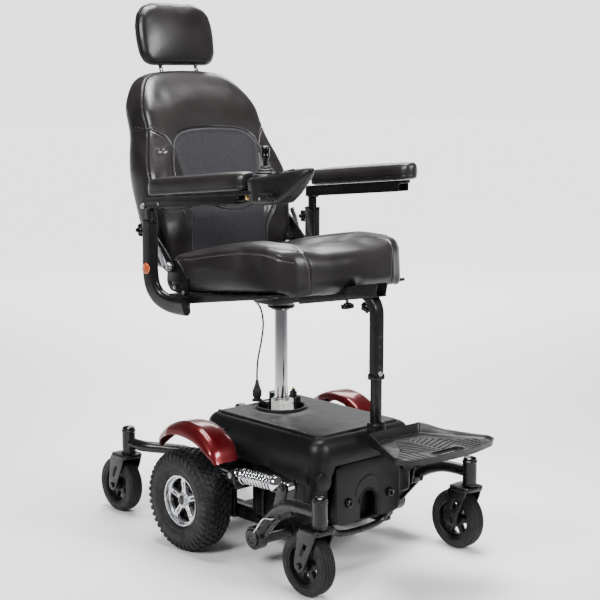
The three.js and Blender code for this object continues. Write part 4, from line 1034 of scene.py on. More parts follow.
def lift():
    x = COLUMN_X
    sleeve_wall = plate([rounded(x - 20, x + 21, -20, 26, 4), circle(x, 0, 17.9, 48)], "plan",
                        156, 362, 1.5)
    motor = plate([rounded(x - 40, x + 36, -38, 38, 4), circle(x, 0, 17.9, 48)], "plan", 102.6, 156, 2)
    base = block(x - 38, x + 34, -36, 36, 100, 102.5, 0.8)
    piece("lift_sleeve", [sleeve_wall, motor, base], WHITE, "chassis", "lift_housing")
    collar = ring(22, 18, 358, 365, (x, 0, 0), "Z", 1.2)
    screws = [drum(2.4, -1.2, 1.2, (x + 21.4, y, 350), "X", 0.4, 16) for y in (-14, 20)]
    piece("lift_collar", [collar, *screws], STEEL, "chassis")
    gearbox = [block(x - 58, x - 24, -30, 26, 290, 352, 4), drum(17, 300, 372, (x - 40, 14, 0), "Z", 2.5,
                                                                 40),
               block(x - 6, x + 26, 28, 46, 300, 366, 3)]
    piece("lift_gearbox", gearbox, SMOOTH_PLASTIC, "chassis")
    switch = [block(62, 78, 27, 41, 360, 378, 2), drum(5.6, 376, 384, (70, 34, 0), "Z", 1, 24)]
    piece("limit_switch", switch, SMOOTH_PLASTIC, "chassis")
    tip = [drum(3.4, 383, 388, (70, 34, 0), "Z", 0.6, 20), drum(4.2, 379, 381, (70, 34, 0), "Z", 0.5, 6)]
    piece("limit_switch_tip", tip, BRASS, "chassis")
    ram = lathe([(0, 305), (16, 305), (17.5, 307), (17.5, 604), (0, 604)], (x, 0, 0), "Z", 72)
    piece("lift_ram_tube", ram, CHROME, "seat", "lift_ram")
    flange = [drum(36, 604, 610, (x, 0, 0), "Z", 1.2, 72), drum(24, 598, 605, (x, 0, 0), "Z", 2, 48)]
    piece("lift_flange", flange, PAINT, "seat")
    bolts = []
    for i in range(6):
        a = math.pi / 6 + math.pi / 3 * i
        bolts.append(drum(3.4, 600.5, 604.5, (x + 29.5 * math.cos(a), 29.5 * math.sin(a), 0), "Z", 0.8, 6))
    piece("lift_flange_bolts", bolts, STEEL, "seat")


def cable_plug():
    profile = [(0, 338.8), (14, 338.8), (14, 342), (11, 344), (9, 346), (10.5, 350), (11.5, 362),
               (10.5, 371), (8, 376), (8.4, 379), (6, 381), (6.2, 384), (5, 386), (5, 389), (4, 394),
               (2.8, 396), (0, 396)]
    centre = Vector((PLUG_X, 0, 0))
    body = lathe(profile, centre, "Z", 48)
    verts, faces = block(PLUG_X + 10.4, PLUG_X + 12.4, -1.2, 1.2, 352, 368, 0.5)
    grips = []
    for i in range(10):
        turn = Matrix.Rotation(2 * math.pi * i / 10, 3, "Z")
        grips.append(([turn @ (v - centre) + centre for v in verts], faces))
    piece("cable_plug_body", [body, *grips], RUBBER, "chassis", "cable_plug")


lift()
cable_plug()


# ---------- seat frame and armrest posts ----------

def rail(x0, x1, depth0, depth1, y0, y1, edge=3):
    """Flat stock hung under the seat, its top along the sloping underside."""
    top0, top1 = seat_underside(x0) - 0.5, seat_underside(x1) - 0.5
    shape = eased([(x0, top0 - depth0), (x1, top1 - depth1), (x1, top1), (x0, top0)], 3)
    return plate([shape], "side", y0, y1, edge)


def hinge_plate(side):
    outline = eased([(-118, 672), (-102, 652), (-30, 644), (-30, 690), (-72, 732), (-112, 732)], 9)
    holes = [circle(-96, 672, 4.2, 20), circle(-62, 668, 4.2, 20)]
    return plate([outline, *holes], "side", *span(side, 228, 233), 1)


def seat_frame():
    parts, bolts = [], []
    for _, side in SIDES:
        parts.append(rail(-112, 280, 30, 8, *span(side, 200, 233), 2.5))
        parts.append(hinge_plate(side))
        parts.append(bar((RECLINE_X, 229 * side, RECLINE_Z), (RECLINE_X, 243 * side, RECLINE_Z), 7))
        bolts.append(drum(10, -2.6, 2.6, (RECLINE_X, 245 * side, RECLINE_Z), "Y", 1, 6))
        bolts.append(ring(11.5, 7.2, -0.8, 0.8, (RECLINE_X, 242.6 * side, RECLINE_Z), "Y", 0.4))
        bolts += [drum(5, -1.6, 1.6, (x, 233.5 * side, z), "Y", 0.8, 24)
                  for x, z in ((-84, 662), (-48, 652))]
    parts += [rail(-104, -70, 22, 22, -202, 202), rail(262, 280, 9, 9, -202, 202),
              rail(-104, 280, 4, 4, -202, 202, 1)]
    parts.append(block(COLUMN_X - 38, COLUMN_X + 40, -60, 60, 616.5, 656, 3))
    x0, x1 = 150, 427
    f = receiver_floor
    wall = eased([(x0, f(x0)), (x1 - 6, f(x1)), (x1, f(x1) + 30), (x1 - 4, f(x1) + 33), (x0, f(x0) + 33)],
                 3)
    parts += [plate([wall], "side", *span(side, 15.7, 19), 0.8) for _, side in SIDES]
    floor_line = [(x0 + 1, 0, f(x0) + 1.2), (x1 - 2, 0, f(x1) + 1.2)]
    parts.append(sweep(floor_line, box_section(18.4, 1.2, 0.8), up=(0, 1, 0)))
    parts.append(sweep([(x0 + 1, 0, f(x0) + 31.8), (322, 0, f(322) + 31.8)], box_section(18.4, 1.2, 0.8),
                       up=(0, 1, 0)))
    parts.append(block(152, 200, -19, 19, 650, 667, 2))
    parts.append(block(60, 160, -24, 24, 640, 657, 3))
    piece("seat_frame_steel", parts, PAINT, "seat", "seat_frame", angle=32)
    piece("seat_frame_bolts", bolts, STEEL, "seat")


def armrest_post(name, side):
    line = smooth_path([(POST_X, POST_Y, 829), (POST_X, POST_Y, 760), (POST_X, POST_Y, 705),
                        (-119, 276, 668), (-104, 270, 642), (-80, 262, 628), (-50, 254, 622),
                        (-16, 250, 622)], 70)
    post = sweep(line, box_section(12.4, 24.8, 12.3, 10), up=(0, 1, 0))
    foot = block(-58, -16, 233.5, 254, 612, 646, 5)
    piece(f"armrest_post_tube_{name}", [mirrored(post, side), mirrored(foot, side)], PAINT, "seat",
          f"armrest_post_{name}", angle=40)
    cap = plate([[(POST_X + v, POST_Y * side + u) for u, v in box_section(12.9, 25.3, 12.8, 10)],
                 rounded(POST_X - 12.6, POST_X + 12.6, POST_Y * side - 6.6, POST_Y * side + 6.6, 1.5)],
                "plan", 824, 834, 2)
    piece(f"armrest_post_cap_{name}", cap, SMOOTH_PLASTIC, "seat")
    y = (POST_Y + 12.8) * side
    lens = lathe([(0, 6), (9, 5.6), (13, 4.2), (14.4, 2), (14.4, 0), (0, 0)], (0, 0, 0), "Y", 48)
    lens = mirrored(lens, side)
    piece(f"reflector_lens_{name}", ([v + Vector((POST_X, y, 712)) for v in lens[0]], lens[1]), AMBER,
          "seat", f"reflector_{name}")


seat_frame()
for part_name, part_side in SIDES:
    armrest_post(part_name, part_side)


# ---------- clamp knobs ----------

def star_knob(name, node, tip, aim, radius, length, body):
    """A five-lobed knob on a threaded stub; the stub's free end is at tip."""
    lobes = []
    for i in range(5):
        a = 2 * math.pi * i / 5
        lobes.append(drum(radius * 0.37, length, length + 12,
                          (radius * 0.63 * math.cos(a), radius * 0.63 * math.sin(a), 0), "Z", 2.2, 24))
    core = lathe([(0, length - 3), (radius * 0.5, length - 3), (radius * 0.72, length + 1),
                  (radius * 0.72, length + 10), (radius * 0.6, length + 12.6),
                  (radius * 0.3, length + 13.2), (0, length + 13.2)], (0, 0, 0), "Z", 40)
    turn = Vector(aim).to_track_quat("Z", "Y").to_matrix()

    def put(part):
        return [turn @ Vector(v) + Vector(tip) for v in part[0]], part[1]

    piece(name, [put(p) for p in lobes + [core]], SMOOTH_PLASTIC, body, node, angle=40)
    stub = [lathe([(0, 0), (3.4, 0), (4, 0.8), (4, length), (0, length)], (0, 0, 0), "Z", 24)]
    stub += [ring(4.3, 3.8, 1 + 1.5 * i, 1.8 + 1.5 * i, (0, 0, 0), "Z", 0.2, 20)
             for i in range(int((length - 3) / 1.5))]
    piece(name + "_stud", [put(p) for p in stub], STEEL, body)


RECEIVER_DOWN = (math.sin(RECEIVER_TILT), 0, -math.cos(RECEIVER_TILT))
for part_name, part_side in SIDES:
    star_knob(f"arm_clamp_knob_{part_name}", f"armrest_knob_{part_name}", (POST_X - 13, POST_Y * part_side,
                                                                           806), (-1, 0, 0), 17, 16,
              f"arm_knob_{part_name}")
star_knob("receiver_knob", "footrest_knob_rear", (305.4, 0, 653.9), RECEIVER_DOWN, 17, 13, "foot_knob_rear")
star_knob("bend_knob", "footrest_knob_front", (390.8, 0, 657.2), (-1, 0, -1), 15, 18, "foot_knob_front")


# ---------- armrests ----------

def arm_slab(x0, x1, lift0, lift1, y0, y1, edge=1.5, corner=3):
    shape = eased([(x0, arm_line(x0) + lift0), (x1, arm_line(x1) + lift0), (x1, arm_line(x1) + lift1),
                   (x0, arm_line(x0) + lift1)], corner)
    return plate([shape], "side", y0, y1, edge)


def armrest(name, side, front, web_front):
    body, stem_body = f"armrest_{name}", f"armrest_upright_{name}"
    blade = block(POST_X - 12, POST_X + 12, *span(side, POST_Y - 6, POST_Y + 6), 700, 862, 2)
    head = plate([circle(POST_X, ARM_PIVOT_Z, 12, 40), circle(POST_X, ARM_PIVOT_Z, 4.3, 24)], "side",
                 *span(side, POST_Y - 6, POST_Y + 6), 1)
    piece(f"armrest_stem_blade_{name}", [blade, head], PAINT, stem_body,
          f"armrest_stem_{name}")
    parts = [mirrored(arm_slab(-130, front, 0, 9, 258, 298, 1.2), side)]
    for near, far in ((258, 262), (294, 298)):
        parts.append(mirrored(arm_slab(-130, web_front, -20, 1, near, far, 1), side))
    for near, far in ((POST_Y - 11, POST_Y - 6.4), (POST_Y + 6.4, POST_Y + 11)):
        ear = eased([(-134, 860), (-112, 860), (-96, 876), (-84, 889), (-134, 886)], 6)
        parts.append(mirrored(plate([ear], "side", near, far, 1), side))
    piece(f"armrest_channel_{name}", parts, PAINT, body, f"armrest_bar_{name}", angle=32)
    bolts = [mirrored(drum(7.5, 297.8, 302.5, (POST_X, 0, ARM_PIVOT_Z), "Y", 2, 32), side),
             mirrored(drum(6.5, POST_Y - 15, POST_Y - 11, (POST_X, 0, ARM_PIVOT_Z), "Y", 1, 6), side)]
    for x in (-60, front - 60):
        bolts.append(mirrored(drum(3.4, 298, 300, (x, 0, arm_line(x) - 10), "Y", 0.7, 20), side))
    piece(f"armrest_bolts_{name}", bolts, STEEL, body)


def armrest_wiring():
    """The joystick's leads, tied along the underside of the right armrest."""
    routes = [[(-92, -262, 872), (-40, -291, 872), (40, -293, 884), (120, -293, 897), (190, -292, 905),
               (255, -288, 908), (284, -280, 920)], [(-92, -268, 866), (-30, -290, 862), (60, -294, 877),
                                                     (140, -294, 893), (200, -293, 897), (250, -289, 900),
                                                     (284, -276, 914)], [(120, -282, 894), (170, -284, 885),
                                                                         (215, -283, 884), (262, -280, 893),
                                                                         (284, -272, 908)]]
    wires = [tube(route, radius, 90, 12) for route, radius in zip(routes, (2.1, 1.8, 2.0))]
    piece("joystick_leads", wires, RUBBER, "armrest_right")
    ties = []
    for x in (60, 150, 176, 214):
        z = arm_line(x) - 8
        ties.append(sweep([(x, -281 + 15 * math.cos(a), z - 3 + 12 * math.sin(a))
                           for a in np.linspace(0, 2 * math.pi, 25)[:-1]], box_section(1.6, 0.6, 0.4, 2),
                          up=(1, 0, 0), closed=True))
    piece("lead_ties", ties, SMOOTH_PLASTIC, "armrest_right")


armrest("right", -1, 388, 240)
armrest("left", 1, 232, 226)
armrest_wiring()


# ---------- joystick ----------

def joystick_pod():
    """The pod, from its square rear to its upturned rounded tip.

    A section is x, middle y, half width, bottom, top and corner radius.
    """
    sections = [(278, -264, 30, 912, 960, 8), (284, -264, 34, 904, 962, 11), (300, -264, 38, 901, 964, 13),
                (340, -263, 37.5, 903, 970, 15), (380, -262, 34, 909, 978, 16),
                (410, -262, 28.5, 928, 985, 17), (436, -262, 22.5, 951, 990, 16),
                (452, -262, 17, 966, 992.5, 13), (462, -262, 10.5, 976, 992.5, 8),
                (466, -262, 4, 982, 990, 3)]
    stations = np.array(sections, float)
    xs = np.concatenate([np.linspace(278, 300, 6)[:-1], np.linspace(300, 452, 30)[:-1],
                         np.linspace(452, 466, 10)])
    rings = []
    for x in xs:
        cy, half, low, top, corner = [np.interp(x, stations[:, 0], stations[:, k]) for k in range(1, 6)]
        mid, tall = (low + top) / 2, (top - low) / 2
        corner = min(corner, half * 0.95, tall * 0.95)
        rings.append([(x, cy + u * (0.86 if v < 0 else 1.0), mid + v) for u, v in box_section(half, tall,
                                                                                              corner, 8)])
    verts, faces = loft_rings(rings, False)
    n = len(rings[0])
    faces += [tuple(reversed(range(n))), tuple(range(len(verts) - n, len(verts)))]
    collar = ring(30, 24, STICK.z - 6, STICK.z + 7, (STICK.x, STICK.y, 0), "Z", 2.2)
    ridge = [tube([(x, STICK.y + way * 24, np.interp(x, stations[:, 0], stations[:, 4]) + 0.2)
                   for x in (338, 370, 402, 430)], 1.4, 40, 10) for way in (-1, 1)]
    piece("joystick_pod_shell", [(verts, faces), collar, *ridge], PLASTIC, "armrest_right",
          "joystick_pod", angle=40)
    screen = block(388, 424, -278, -246, 979.5, 984, 1.2)
    tilt = Matrix.Rotation(math.radians(-10), 3, "Y")
    centre = Vector((404, -262, 982))
    screen = ([tilt @ (v - centre) + centre + Vector((0, 0, 1.5)) for v in screen[0]], screen[1])
    piece("joystick_display", screen, DISPLAY, "armrest_right")
    keys = []
    for x, y in ((350, -278), (350, -246), (364, -280), (364, -244)):
        keys.append(drum(4.6, 971, 976.5, (x, y, 0), "Z", 1.2, 28))
    piece("joystick_keys", keys, RUBBER, "armrest_right")
    lamp = [drum(2.2, 974, 979.4, (388, y, 0), "Z", 0.6, 20) for y in (-284, -240)]
    piece("joystick_lamps", lamp, GLOW, "armrest_right")
    socket = [ring(8.5, 5.6, -6, 2, (276, -286, 918), "X", 0.8, 36),
              ring(5.6, 3.2, -4, 3.5, (276, -286, 918), "X", 0.5, 32)]
    piece("lead_socket", socket, BRASS, "armrest_right")
    star = [drum(7.6, 296, 301.5, (372, 0, 921), "Y", 1.2, 6),
            drum(5, 300, 306.5, (372, 0, 921), "Y", 1, 8)]
    star += [drum(2.4, 299, 305, (372 + 8.6 * math.cos(a), 0, 921 + 8.6 * math.sin(a)), "Y", 0.7, 16)
             for a in np.linspace(0, 2 * math.pi, 6)[:-1]]
    piece("charger_socket", [mirrored(p, -1) for p in star], SMOOTH_PLASTIC, "armrest_right")


def joystick_stick():
    base = Vector((STICK.x, STICK.y, STICK.z))
    ball = lathe([(0, -22), (12, -18), (19, -11), (21.9, 0), (20, 9), (15, 16), (0, 22)], base, "Z", 48)
    piece("joystick_gimbal", ball, SMOOTH_PLASTIC, "boot", "joystick_boot")
    folds = [(26.5, 4), (27.5, 6.5), (25.5, 9), (21.5, 10.4), (23.5, 12.4), (22, 15), (17.5, 16.4),
             (19, 18.4), (17.4, 21), (12.5, 22.4), (13.5, 24.4), (11.5, 27), (7.5, 28.4), (6.2, 30)]
    gaiter = lathe([(0, 4)] + [(r, z) for r, z in folds] + [(0, 30)], base, "Z", 64)
    piece("joystick_gaiter", gaiter, RUBBER, "stick", angle=60)
    knob = [(0, 28), (5.2, 28), (5.6, 36), (6.4, 42), (9.2, 46), (10.4, 49), (10.4, 52), (9.4, 54),
            (9.6, 58), (10.4, 66), (10.2, 70), (8.4, 72.4), (4, 73.2), (0, 73.2)]
    piece("joystick_handle", lathe(knob, base, "Z", 56), SMOOTH_PLASTIC, "stick",
          "joystick_stick", angle=50)
    button = lathe([(0, 969.5), (6, 969.5), (6, 979), (5.2, 980.6), (3, 981.4), (0, 981.6)],
                   (372, STICK.y, 0), "Z", 40)
    piece("power_button_cap", button, WHITE, "button", "power_button")


joystick_pod()
joystick_stick()


# ---------- back frame and headrest posts ----------

def back_frame():
    arm = eased([(-84, 702), (-76, 716), (-87, 733), (-150, 791), (-190, 825), (-212, 825), (-222, 808),
                 (-212, 791), (-170, 733), (-112, 703), (-98, 698)], 7)
    parts = [plate([arm, circle(RECLINE_X, RECLINE_Z, 7.3, 32)], "side", *span(side, 237, 241.5), 1)
             for _, side in SIDES]
    parts += [bar((x, -239, z), (x, 239, z), 8) for x, z in ((-160, 748), (-205, 808))]
    piece("back_arms", parts, PAINT, "back", "back_frame", angle=32)
    # Thin silver strips laid along the outer faces of the back arms: a painted highlight, standing in for
    # the glint on the arms' glossy black paint.
    glint_strips = []
    for _, side in SIDES:
        line = smooth_path([(-112, 243.8 * side, 716), (-128, 243.8 * side, 742), (-146, 243.8 * side, 768),
                            (-156, 243.8 * side, 800), (-170, 242.5 * side, 830)], 40)
        glint_strips.append(sweep(line, box_section(1.3, 9, 1.1), up=(0, 1, 0)))
    piece("recline_arm_glints", glint_strips, SILVER, "back")
    screws = [drum(6, -2.4, 2.4, (x, 244 * side, z), "Y", 1, 24) for _, side in SIDES
              for x, z in ((-160, 748), (-205, 808))]
    piece("back_arm_screws", screws, STEEL, "back")


def on_post(side, distance):
    return (-322 - math.sin(HEAD_LEAN) * distance, 60 * side, 1112 + math.cos(HEAD_LEAN) * distance)


def headrest_posts():
    parts = [bar(on_post(side, 0), on_post(side, 172), 5.5) for _, side in SIDES]
    parts.append(bar(on_post(-1, 168), on_post(1, 168), 5.5))
    for _, side in SIDES:
        for k in range(4):
            parts.append(bar(on_post(side, 96 + 9 * k), on_post(side, 98.4 + 9 * k), 5.75, 0.3))
    piece("headrest_post_rods", parts, CHROME, "headrest", "headrest_posts")


back_frame()
headrest_posts()


# ---------- footrest ----------

HANGER_X, BEND, BEND_Z = 409, 50, 625.4


def footrest_hanger():
    tilt = RECEIVER_TILT
    arc = [(HANGER_X - BEND + BEND * math.cos(a), 0, BEND_Z + BEND * math.sin(a))
           for a in np.linspace(math.pi / 2 + tilt, 0, 22)]
    first = arc[0]
    run = first[0] - 176
    line = [(first[0] - run * t, 0, first[2] - run * math.tan(tilt) * t)
            for t in np.linspace(1, 0, 12)[:-1]]
    line += arc + [(HANGER_X, 0, z) for z in np.linspace(BEND_Z, 471, 16)[1:]]
    outer = sweep(line, box_section(14.6, 12.3, 3.6, 5), up=(0, 1, 0))
    piece("hanger_tube", outer, PAINT, "hanger", "footrest_hanger", angle=32)
    # Dark discs set just proud of the tube's front face stand in for its adjustment holes: painted shade of
    # the hollow tube seen through them.
    holes = [drum(3.5, HANGER_X + 11, HANGER_X + 12.55, (0, 0, z), "X", 0.1, 24)
             for z in (500, 525, 550, 575)]
    piece("hanger_hole_shade", holes, RUBBER, "hanger")
    bolt = drum(7, HANGER_X + 12.4, HANGER_X + 16, (0, 0, 484), "X", 1, 6)
    piece("hanger_bolt", bolt, STEEL, "hanger")
    piece("hanger_collar", square_collar(HANGER_X, 468, 482), SMOOTH_PLASTIC, "hanger")


def square_collar(x, z0, z1):
    """A square collar round the hanger's lower end."""
    rim = rounded(x - 14.6, x + 14.6, -17, 17, 4)
    bore = rounded(x - 10.2, x + 10.2, -12.8, 12.8, 2)
    return plate([rim, bore], "plan", z0, z1, 1.5)


def foot_post():
    x = HANGER_X
    parts = [block(x - 9.4, x + 9.4, -11.8, 11.8, 330, 570, 2), block(x - 14, x + 16, -20, 20, 326, 362, 5),
             block(x, FLIP_X, -20, 20, 326, 340, 3), drum(9, -20, 20, (FLIP_X, 0, FLIP_Z), "Y", 1.5, 40),
             bar((FLIP_X, -58, FLIP_Z), (FLIP_X, 58, FLIP_Z), 5)]
    piece("foot_post_steel", parts, PAINT, "foot_post", "foot_post", angle=32)
    bolts = [drum(6.5, -3, 3, (x + 2, 22 * side, 346), "Y", 1, 6) for _, side in SIDES]
    bolts += [drum(7, low, high, (FLIP_X, 0, FLIP_Z), "Y", 1, 24) for low, high in ((56, 60), (-60, -56))]
    piece("foot_post_bolts", bolts, PAINT, "foot_post")


def tray_outline(inset):
    curve = []

    def quad(a, b, c, steps=12):
        for k in range(1, steps + 1):
            t = k / steps
            curve.append(((1 - t) ** 2 * a[0] + 2 * t * (1 - t) * b[0] + t * t * c[0],
                          (1 - t) ** 2 * a[1] + 2 * t * (1 - t) * b[1] + t * t * c[1]))

    i = inset
    start = [(470 + i, i - 88), (520, i - 106), (626, i - 158)]
    curve += start
    quad(start[-1], (668 - i, i - 160), (674 - i, -108))
    quad((674 - i, -108), (702 - i, 0), (674 - i, 108), 24)
    quad((674 - i, 108), (668 - i, 160 - i), (626, 158 - i))
    curve += [(520, 106 - i), (470 + i, 88 - i)]
    return resample([Vector((u, v, 0)) for u, v in curve + curve[:1]], 181)[:-1]


def rim_height(x):
    """The tray's lip: a wall at the hinge, a thin flared edge at the front."""
    return float(np.interp(x, (470, 492, 530, 600, 690), (359, 357, 349, 344.5, 344)))


def footplate():
    insets = [(9, 0, 328), (2.5, 0, 330), (0.6, 1, -1.2), (0, 1, 0), (1.2, 1, 0.9), (3.2, 1, 0.2),
              (5.5, 1, -2.6), (9, 0, 338), (13, 0, 336.2)]
    rings = []
    for inset, from_rim, z in insets:
        rings.append([(p.x, p.y, (rim_height(p.x) + z) if from_rim else z) for p in tray_outline(inset)])
    verts, faces = loft_rings(rings, False)
    slot = rounded(632, 656, -48, 48, 11, 8)
    top_ring = [(p.x, p.y) for p in tray_outline(13)]
    low_ring = [(p.x, p.y) for p in tray_outline(9)]
    deck = plate([top_ring, slot], "plan", 333.6, 336.4, 0.3)
    under = plate([low_ring, slot], "plan", 327.8, 331, 0.6)
    slot_wall = plate([rounded(628.5, 659.5, -51.5, 51.5, 14, 8), slot], "plan", 328, 338, 1.4)
    ribs = []
    for i in range(9):
        x = 500 + 13.5 * i
        reach = min(22 + 9.5 * i, 86)
        for way in (-1, 1):
            rib = sweep([(x + 14, 5 * way, 336.6), (x - 2 - reach * 0.14, reach * way, 336.6)],
                        box_section(2.2, 1.5, 0.9, 3), up=(1, 0, 0))
            ribs.append(rib)
    for i in range(5):
        y = 70 + 15 * i
        for way in (-1, 1):
            ribs.append(sweep([(560 + 12 * i, y * way, 336.6), (664 - 2.2 * i * i, y * way, 336.6)],
                              box_section(2.0, 1.4, 0.9, 3), up=(0, 1, 0)))
    knuckles = []
    for _, side in SIDES:
        y0, y1 = span(side, 22, 54)
        knuckles += [drum(9, y0, y1, (FLIP_X, 0, FLIP_Z), "Y", 1.2, 40),
                     block(FLIP_X, 484, y0, y1, 327, 339, 2)]
    piece("footplate_tray", [(verts, faces), deck, under, slot_wall, *ribs, *knuckles], PLASTIC,
          "footplate", "footplate", angle=38)


footrest_hanger()
foot_post()
footplate()


# ---------- upholstery ----------

CLOTH_FRAMES = 20
CLOTH = {"quality": 4, "mass": 0.3, "tension_stiffness": 18, "compression_stiffness": 18,
         "bending_stiffness": 0.6, "use_pressure": True, "uniform_pressure_force": 4.0}
TRAVEL_ROUNDS, FORM_ROUNDS = 30, 5


def inward_normals(points):
    count = len(points)
    centre = sum(points, Vector((0, 0))) / count
    normals = []
    for k in range(count):
        along = (points[(k + 1) % count] - points[k - 1]).normalized()
        normal = Vector((-along.y, along.x))
        normals.append(normal if normal.dot(centre - points[k]) > 0 else -normal)
    return normals, centre


def cushion_rings(outline, rims, power=2.6, rear_scale=1.0, steps=9, caps=9):
    """Rings of (u, v, w) over a closed outline: w runs from 0, the underside, to 1, the top.

    rims are the rounding radii of the underside and of the top.
    """
    points = [Vector((u, v)) for u, v in outline]
    normals, centre = inward_normals(points)
    rings = []
    for a in np.linspace(-math.pi / 2, math.pi / 2, 2 * steps + 1):
        inset = rims[0 if a < 0 else 1] * (1 - max(math.cos(a), 0.0) ** (2 / power))
        w = 0.5 + 0.5 * math.copysign(abs(math.sin(a)) ** (2 / power), a)
        shrink = 1 - (1 - rear_scale) * (max(0.66 - w, 0) / 0.66) ** 1.4
        spots = [p + n * inset - centre for p, n in zip(points, normals)]
        rings.append([(p.x * shrink + centre.x, p.y * shrink + centre.y, w) for p in spots])

    def cap(ring, w):
        return [[(u + (centre.x - u) * t, v + (centre.y - v) * t, w) for u, v, _ in ring]
                for t in np.linspace(0, 1, caps + 1)[1:]]

    return cap(rings[0], 0.0)[::-1] + rings + cap(rings[-1], 1.0)


def evened(mesh, values, rounds):
    """Averages each point's values with its neighbours', which takes out creases and keeps the fullness."""
    pairs = np.empty(len(mesh.edges) * 2, int)
    mesh.edges.foreach_get("vertices", pairs)
    a, b = pairs.reshape(-1, 2).T
    count = np.bincount(pairs, minlength=len(values))[:, None]
    for _ in range(rounds):
        total = np.zeros_like(values)
        np.add.at(total, a, values[b])
        np.add.at(total, b, values[a])
        values = 0.5 * values + 0.5 * total / count
    return values


def padded_form(name, outline, rims, to_world, voxel, power=2.6, rear_scale=1.0):
    """A closed cushion built from rings, remeshed to even quads; returns the object in the row frame."""
    points = resample([Vector((u, v, 0)) for u, v in list(outline) + [outline[0]]], 161)[:-1]
    base = cushion_rings([(p.x, p.y) for p in points], rims, power, rear_scale)
    rings = [[to_world(u, v, w) for u, v, w in r] for r in base]
    verts, faces = loft_rings(rings, False)
    mesh = bpy.data.meshes.new(name)
    mesh.from_pydata([at(*v) for v in verts], [], faces)
    obj = bpy.data.objects.new(name, mesh)
    bpy.context.scene.collection.objects.link(obj)
    bm = bmesh.new()
    bm.from_mesh(mesh)
    bmesh.ops.remove_doubles(bm, verts=bm.verts[:], dist=1e-5)
    bmesh.ops.dissolve_degenerate(bm, edges=bm.edges[:], dist=1e-6)
    bmesh.ops.recalc_face_normals(bm, faces=bm.faces[:])
    bm.to_mesh(mesh)
    bm.free()
    remesh = obj.modifiers.new("even", "REMESH")
    remesh.mode = "VOXEL"
    remesh.voxel_size = voxel * MM
    apply_modifiers(obj)
    set_coordinates(obj.data, evened(obj.data, coordinates(obj.data), FORM_ROUNDS))
    return obj


def apply_modifiers(obj):
    bpy.context.view_layer.update()
    evaluated = obj.evaluated_get(bpy.context.evaluated_depsgraph_get())
    mesh = bpy.data.meshes.new_from_object(evaluated)
    old = obj.data
    obj.modifiers.clear()
    obj.data = mesh
    bpy.data.meshes.remove(old)


def coordinates(mesh):
    flat = np.empty(len(mesh.vertices) * 3)
    mesh.vertices.foreach_get("co", flat)
    return flat.reshape(-1, 3)


def set_coordinates(mesh, places):
    mesh.vertices.foreach_set("co", np.asarray(places, float).ravel())
    mesh.update()


def inflate(jobs):
    """Fills every cushion with air for a few frames of cloth simulation, then keeps the shape it took.

    A job is (object, pinned test on a point in millimetres, furthest travel in millimetres).
    """
    starts = []
    for obj, pinned, _ in jobs:
        start = coordinates(obj.data).copy()
        starts.append(start)
        held = obj.vertex_groups.new(name="held")
        local = (start - np.array(at(0, 0, 0))) / MM
        held.add([int(i) for i in np.nonzero([pinned(*p) for p in local])[0]], 1.0, "REPLACE")
        cloth = obj.modifiers.new("cloth", "CLOTH")
        for setting, value in CLOTH.items():
            setattr(cloth.settings, setting, value)
        cloth.settings.vertex_group_mass = "held"
        cloth.settings.effector_weights.gravity = 0
        cloth.collision_settings.use_collision = False
        cloth.point_cache.frame_start, cloth.point_cache.frame_end = 1, CLOTH_FRAMES
    for frame_number in range(1, CLOTH_FRAMES + 1):
        bpy.context.scene.frame_set(frame_number)
    graph = bpy.context.evaluated_depsgraph_get()
    for (obj, _, furthest), start in zip(jobs, starts):
        moved = evened(obj.data, coordinates(obj.evaluated_get(graph).data) - start, TRAVEL_ROUNDS)
        length = np.linalg.norm(moved, axis=1, keepdims=True)
        limit = furthest * MM
        scale = np.where(length > 1e-9, limit * np.tanh(length / limit) / np.maximum(length, 1e-9), 1.0)
        obj.modifiers.clear()
        obj.vertex_groups.clear()
        set_coordinates(obj.data, start + moved * scale)
    bpy.context.scene.frame_set(1)


def subdivided(obj):
    smooth = obj.modifiers.new("smooth", "SUBSURF")
    smooth.levels = 1
    apply_modifiers(obj)


def vertex_normals(mesh):
    flat = np.empty(len(mesh.vertices) * 3)
    mesh.vertices.foreach_get("normal", flat)
    return flat.reshape(-1, 3)


def on_surface(obj, path, count, outward):
    """Drops a path in millimetres onto the object, from outside along `outward`."""
    tree = BVHTree.FromPolygons([v.co for v in obj.data.vertices],
                                [tuple(p.vertices) for p in obj.data.polygons])
    spots = []
    for p in smooth_path(path, count):
        start = at(*p)
        if outward is None:
            spot = tree.find_nearest(start)[:2]
        else:
            spot = tree.ray_cast(start + outward * 0.2, -outward)[:2]
            if spot[0] is None:
                spot = tree.find_nearest(start)[:2]
        spots.append(spot)
    return spots


def seam(obj, spots, depth, width):
    """Presses a rounded groove into the object along the spots."""
    tree = KDTree(len(spots))
    for i, (place, _) in enumerate(spots):
        tree.insert(place, i)
    tree.balance()
    places, normals = coordinates(obj.data), vertex_normals(obj.data)
    low = np.min([tuple(p) for p, _ in spots], axis=0) - 0.03
    high = np.max([tuple(p) for p, _ in spots], axis=0) + 0.03
    near = np.nonzero(np.all((places > low) & (places < high), axis=1))[0]
    for i in near:
        distance = tree.find(places[i])[2] / MM
        if distance > width * 2.6:
            continue
        groove = depth * math.exp(-(distance / (width * 0.5)) ** 2)
        shoulder = 0.22 * depth * math.exp(-((distance - width * 1.25) / (width * 0.6)) ** 2)
        places[i] -= normals[i] * (groove - shoulder) * MM
    set_coordinates(obj.data, places)


